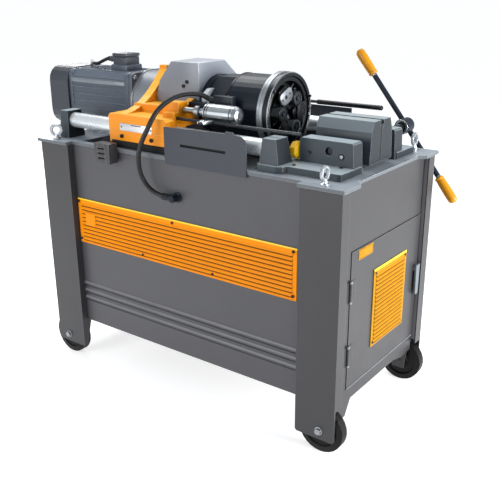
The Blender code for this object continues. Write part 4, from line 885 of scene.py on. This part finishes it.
def die_fittings():
    """The bolts, rings, stops and pins round the dies and rollers."""
    bolts = Shape()
    for turn in DIE_TURNS:
        bolts.socket_bolt((0.2145, *around_head(turn, 0.059, 0.004)), X_AXIS, 0.0062, 0.0014)
        for across in (-0.017, 0.023):
            bolts.socket_bolt((0.2145, *around_head(turn, 0.059, across)), X_AXIS, 0.0026,
                              0.0018)
        bolts.socket_bolt((0.206, *around_head(turn, 0.031)), X_AXIS, 0.0042, 0.0035)
    for y, z in circle((0, HEAD_Z), 0.081, 12):
        bolts.socket_bolt((0.176, y, z), X_AXIS, 0.0035, 0.003)
    bolts.forward(DIE_FORWARD)
    for y, z in circle((0, HEAD_Z), 0.1025, 12, math.pi / 12):
        bolts.socket_bolt((0.2300, y, z), X_AXIS, 0.0036, 0.0024)
    bolts.done("die_bolts", "head", "bolt_black")

    # Painted light and shade: the second roller's ring is a lighter steel, as if lit, the others
    # a darker steel, as if in shade.
    for index, look in enumerate(("dark_steel", "plate_steel", "dark_steel")):
        ring = Shape().ring((0, *around_head(ROLLER_TURNS[index], ROLLER_REACH)), X_AXIS, [
            (0.2172, 0.0196), (0.2172, 0.0224), (0.2186, 0.0224), (0.2190, 0.0218),
            (0.2190, 0.0202), (0.2186, 0.0196)], 40)
        ring.forward(DIE_FORWARD).done(f"roller_ring_{index + 1}", "head", look,
                                       "machined_steel")
    stops = Shape()
    for y, z in circle((0, HEAD_Z), 0.1145, 3, 0.35):
        stops.turned((0.2345, y, z), X_AXIS, [
            (0, 0), (0, 0.0042), (0.0080, 0.0042), (0.0092, 0.0030), (0.0092, 0)], 20)
    stops.done("head_stops", "head", "dark_steel", "machined_steel")
    pins = Shape()
    for turn in DIE_TURNS:
        pins.tube([(0.196, *around_head(turn + 207, 0.060)),
                   (0.204, *around_head(turn + 200, 0.088))], 0.0034, 14)
    pins.forward(DIE_FORWARD).done("die_pins", "head", "dark_steel", "machined_steel")


# ---------------- bed and vise

def bed_details():
    """The yellow bumper, the stop rod's dog, and painted shade in the dark gaps beside the guide
    bars.
    """
    Shape().turned((0.340, -0.140, 0.853), X_AXIS, [
        (0, 0), (0, 0.019), (0.006, 0.0255), (0.021, 0.0255), (0.0275, 0.019), (0.0275, 0)],
        8, math.pi / 8).done("bumper", "root", "yellow_plastic", "grip_orange")
    dog = Shape().box((0.0735, -0.2455, 0.9120), (0.1030, -0.2080, 0.9198), 0.0015)
    dog.turned((0.088, -0.238, 0.9196), Z_AXIS, [
        (0, 0), (0, 0.0072, 6), (0.004, 0.0072, 6), (0.0046, 0.0064), (0.0046, 0)], 24)
    dog.done("stop_dog", "carriage", "bright_rim", "machined_steel")
    # Painted shade: dark sheets in the gap under the saddle and behind the guard's slot.
    Shape().box((-0.285, -0.250, 0.8043), (-0.040, -0.150, 0.8280), 0.002).done(
        "saddle_gap_shade", "root", "shadow_black", "black_enamel")
    Shape().box((0.0255, -0.2681, 0.8405), (0.2025, -0.2676, 0.8555), 0.0001).done(
        "guard_slot_back", "root", "shadow_black", "black_enamel")


def vise_details():
    """The holes and the set screw in the vise's wall, and the front jaw's seam."""
    rims = Shape()
    for x, z, r in ((0.404, 0.854, 0.0062), (0.505, 0.853, 0.0092)):
        rims.turned((x, -0.1500, z), FRONT, [
            (-0.0004, 0), (-0.0004, r), (0.0006, r), (0.0010, r * 0.9), (0.0010, r * 0.72),
            (0.0003, r * 0.62), (0.0003, 0)], 28)
    rims.done("wall_hole_rims", "root", "dark_steel", "cast_grey")
    Shape().socket_bolt((0.505, -0.1504, 0.853), FRONT, 0.0052, 0.0020).done(
        "wall_set_screw", "root", "bolt_steel")
    Shape().box((0.5477, -0.0050, 0.8225), (0.5484, -0.0006, 0.9200), 0.0001).done(
        "jaw_seam", "front_jaw", "shadow_black", "cast_grey")


def rod_details():
    """The reset barrel's dark rings, painted shade in its grooves, the lever hub's face, and the
    rear stop rod's sleeve.
    """
    # Painted shade: dark rings where the reset barrel's grooves are.
    barrel = Shape()
    for x, wide in ((0.0585, 0.004), (0.068, 0.0022), (0.152, 0.0022)):
        barrel.ring((x, -0.170, 0.934), X_AXIS, [
            (0, 0.0268), (0, 0.0278), (wide, 0.0278), (wide, 0.0268)], 40)
    barrel.done("barrel_rings", "carriage", "bolt_black", "black_enamel")
    Shape().ring((LEVER_X, 0.3000, LEVER_Z), FRONT, [
        (-0.0005, 0.0150), (-0.0005, 0.0238), (0.0008, 0.0238), (0.0016, 0.0228),
        (0.0016, 0.0162), (0.0008, 0.0150)], 40).done(
            "lever_hub_face", "vise_spindle", "bright_rim", "machined_steel")
    Shape().turned((0.180, 0.2535, 0.925), X_AXIS, [
        (0, 0), (0, 0.0070), (0.0012, 0.0078), (0.2370, 0.0078), (0.2385, 0.0064),
        (0.2385, 0)], 28).done("rear_rod_sleeve", "carriage", "dark_steel", "black_enamel")


def lever_grips():
    """A shaped grip and a collar on each end of the lever."""
    for name in ("grip_upper", "grip_lower"):
        low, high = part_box(name)
        middle = (low + high) / 2 - ORIGIN
        out = (middle - Vector((LEVER_X, middle.y, LEVER_Z))).normalized()
        Shape().turned(middle - out * 0.0475, out, [
            (0, 0), (0, 0.0135), (0.003, 0.0150), (0.007, 0.0150), (0.009, 0.0136),
            (0.012, 0.0142), (0.030, 0.0150), (0.060, 0.0156), (0.080, 0.0152),
            (0.088, 0.0138), (0.093, 0.0100), (0.095, 0.0045), (0.0953, 0)], 32).done(
                f"{name}_sleeve", "vise_spindle", "grip_orange", "grip_orange", [name])
        Shape().turned(middle - out * 0.0535, out, [
            (0, 0), (0, 0.0080), (0.001, 0.0090), (0.0055, 0.0090), (0.006, 0.0080),
            (0.006, 0)], 28).done(f"{name}_collar", "vise_spindle", "bolt_steel", "zinc_plate")


# ---------------- panel ridges and louvres

def panel_ridges():
    """Painted highlight on the upper slopes of the front panel's ridges, painted shade on the
    lower slopes.
    """
    for name, look, inner, edge, outer in (
            ("panel_ridge_highlights", "glint_grey", 0.0084, 0.0030, 0.0090),
            ("panel_ridge_shades", "ridge_shade_grey", -0.0092, -0.0034, -0.0098)):
        strips = Shape()
        for z in (0.291, 0.2635, 0.236):
            strips.prism("x", [(-0.2630, z + inner), (-0.2673, z + edge), (-0.2678, z + edge),
                               (-0.2634, z + outer)], -0.4570, 0.4570, 0)
        strips.done(name, "root", look, "cabinet_grey")


def louvre_rims():
    """The folded edges round both louvres; their top rims are a lighter yellow, a painted
    highlight.
    """
    Shape().prism("x", [(-0.2660, 0.6035), (-0.2676, 0.6040), (-0.2664, 0.6082),
                        (-0.2640, 0.6085)], -0.4550, 0.4430, 0.0003).done(
        "front_louvre_rim", "root", "rim_highlight", "orange_paint")
    edges = Shape()
    for x in (-0.4545, 0.4395):
        edges.box((x, -0.2672, 0.4500), (x + 0.003, -0.2660, 0.6036), 0.0004)
    edges.box((-0.4545, -0.2672, 0.4500), (0.4425, -0.2660, 0.4530), 0.0004)
    edges.done("front_louvre_edges", "root", "orange_paint", "orange_paint")
    Shape().prism("y", [(0.5800, 0.5060), (0.5818, 0.5070), (0.5806, 0.5122),
                        (0.5776, 0.5126)], -0.063, 0.153, 0.0003).done(
        "door_louvre_rim", "cabinet_door", "rim_highlight", "orange_paint")


def louvre_shade_strips(name, body, low, high, first, pitch, count, tall):
    """Painted shade between a louvre's slats, as dark strips from low to high in x and y."""
    shade_strips = Shape()
    for index in range(count):
        z = first + pitch * (index + 0.12)
        shade_strips.box((*low, z - tall), (*high, z - 0.0002), 0.0001)
    shade_strips.done(name, body, "dark_orange", "orange_paint")


def louvre_shades_and_sill():
    """The painted shade between both louvres' slats, and the sill under the door."""
    louvre_shade_strips("front_louvre_shade_strips", "root", (-0.4395, -0.2668), (0.4275, -0.2660),
                 first=0.461, pitch=(0.158 - 0.022) / 10, count=10, tall=0.0056)
    louvre_shade_strips("door_louvre_shade_strips", "cabinet_door", (0.5800, -0.0495), (0.5810, 0.1395),
                 first=0.273, pitch=(0.250 - 0.022) / 17, count=17, tall=0.0066)
    # The sill in the lighter table grey: a painted highlight along the door's foot.
    Shape().box((0.5765, -0.198, 0.1785), (0.5785, 0.2455, 0.1815), 0.0005).done(
        "door_sill", "cabinet_door", "table_grey", "cabinet_grey")


# ---------------- putting it together

OWN_LOOKS = {
    "fan_cover": "dark_grey", "front_stop_rod": "dark_steel", "rear_stop_rod": "dark_steel",
    "hinge_upper": "cabinet_grey", "hinge_lower": "cabinet_grey", "hose_elbow": "black_enamel",
    "vise_screw": "dark_steel", "bar_block_front": "cast_grey", "bar_block_rear": "cast_grey",
    "door_latch": "latch_grey", "saddle": "saddle_paint", "front_panel": "panel_grey",
    "door_louvre": "door_yellow", "bearing_cap_front": "saddle_paint",
    "bearing_cap_rear": "saddle_paint"}


def paint_cad():
    """Each CAD node takes the finish of its material slot, or one of its own."""
    for name, cad in NODES.items():
        for place in cad.material_slots:
            look = OWN_LOOKS.get(name, place.material.name.split(".")[0])
            place.material = LOOKS[look]


place_camera()
LOOKS = {name: finish(name, **how) for name, how in FINISHES.items()}
make_cords()
light_the_studio()
lay_floor()
paint_cad()
for build in (cabinet_details, door_details, deck_details, control_box_details, switch_box,
              motor, motor_fittings, saddle_details, gearbox, head, die_cage, die_fittings,
              bed_details, vise_details, rod_details, lever_grips, panel_ridges, louvre_rims,
              louvre_shades_and_sill):
    build()
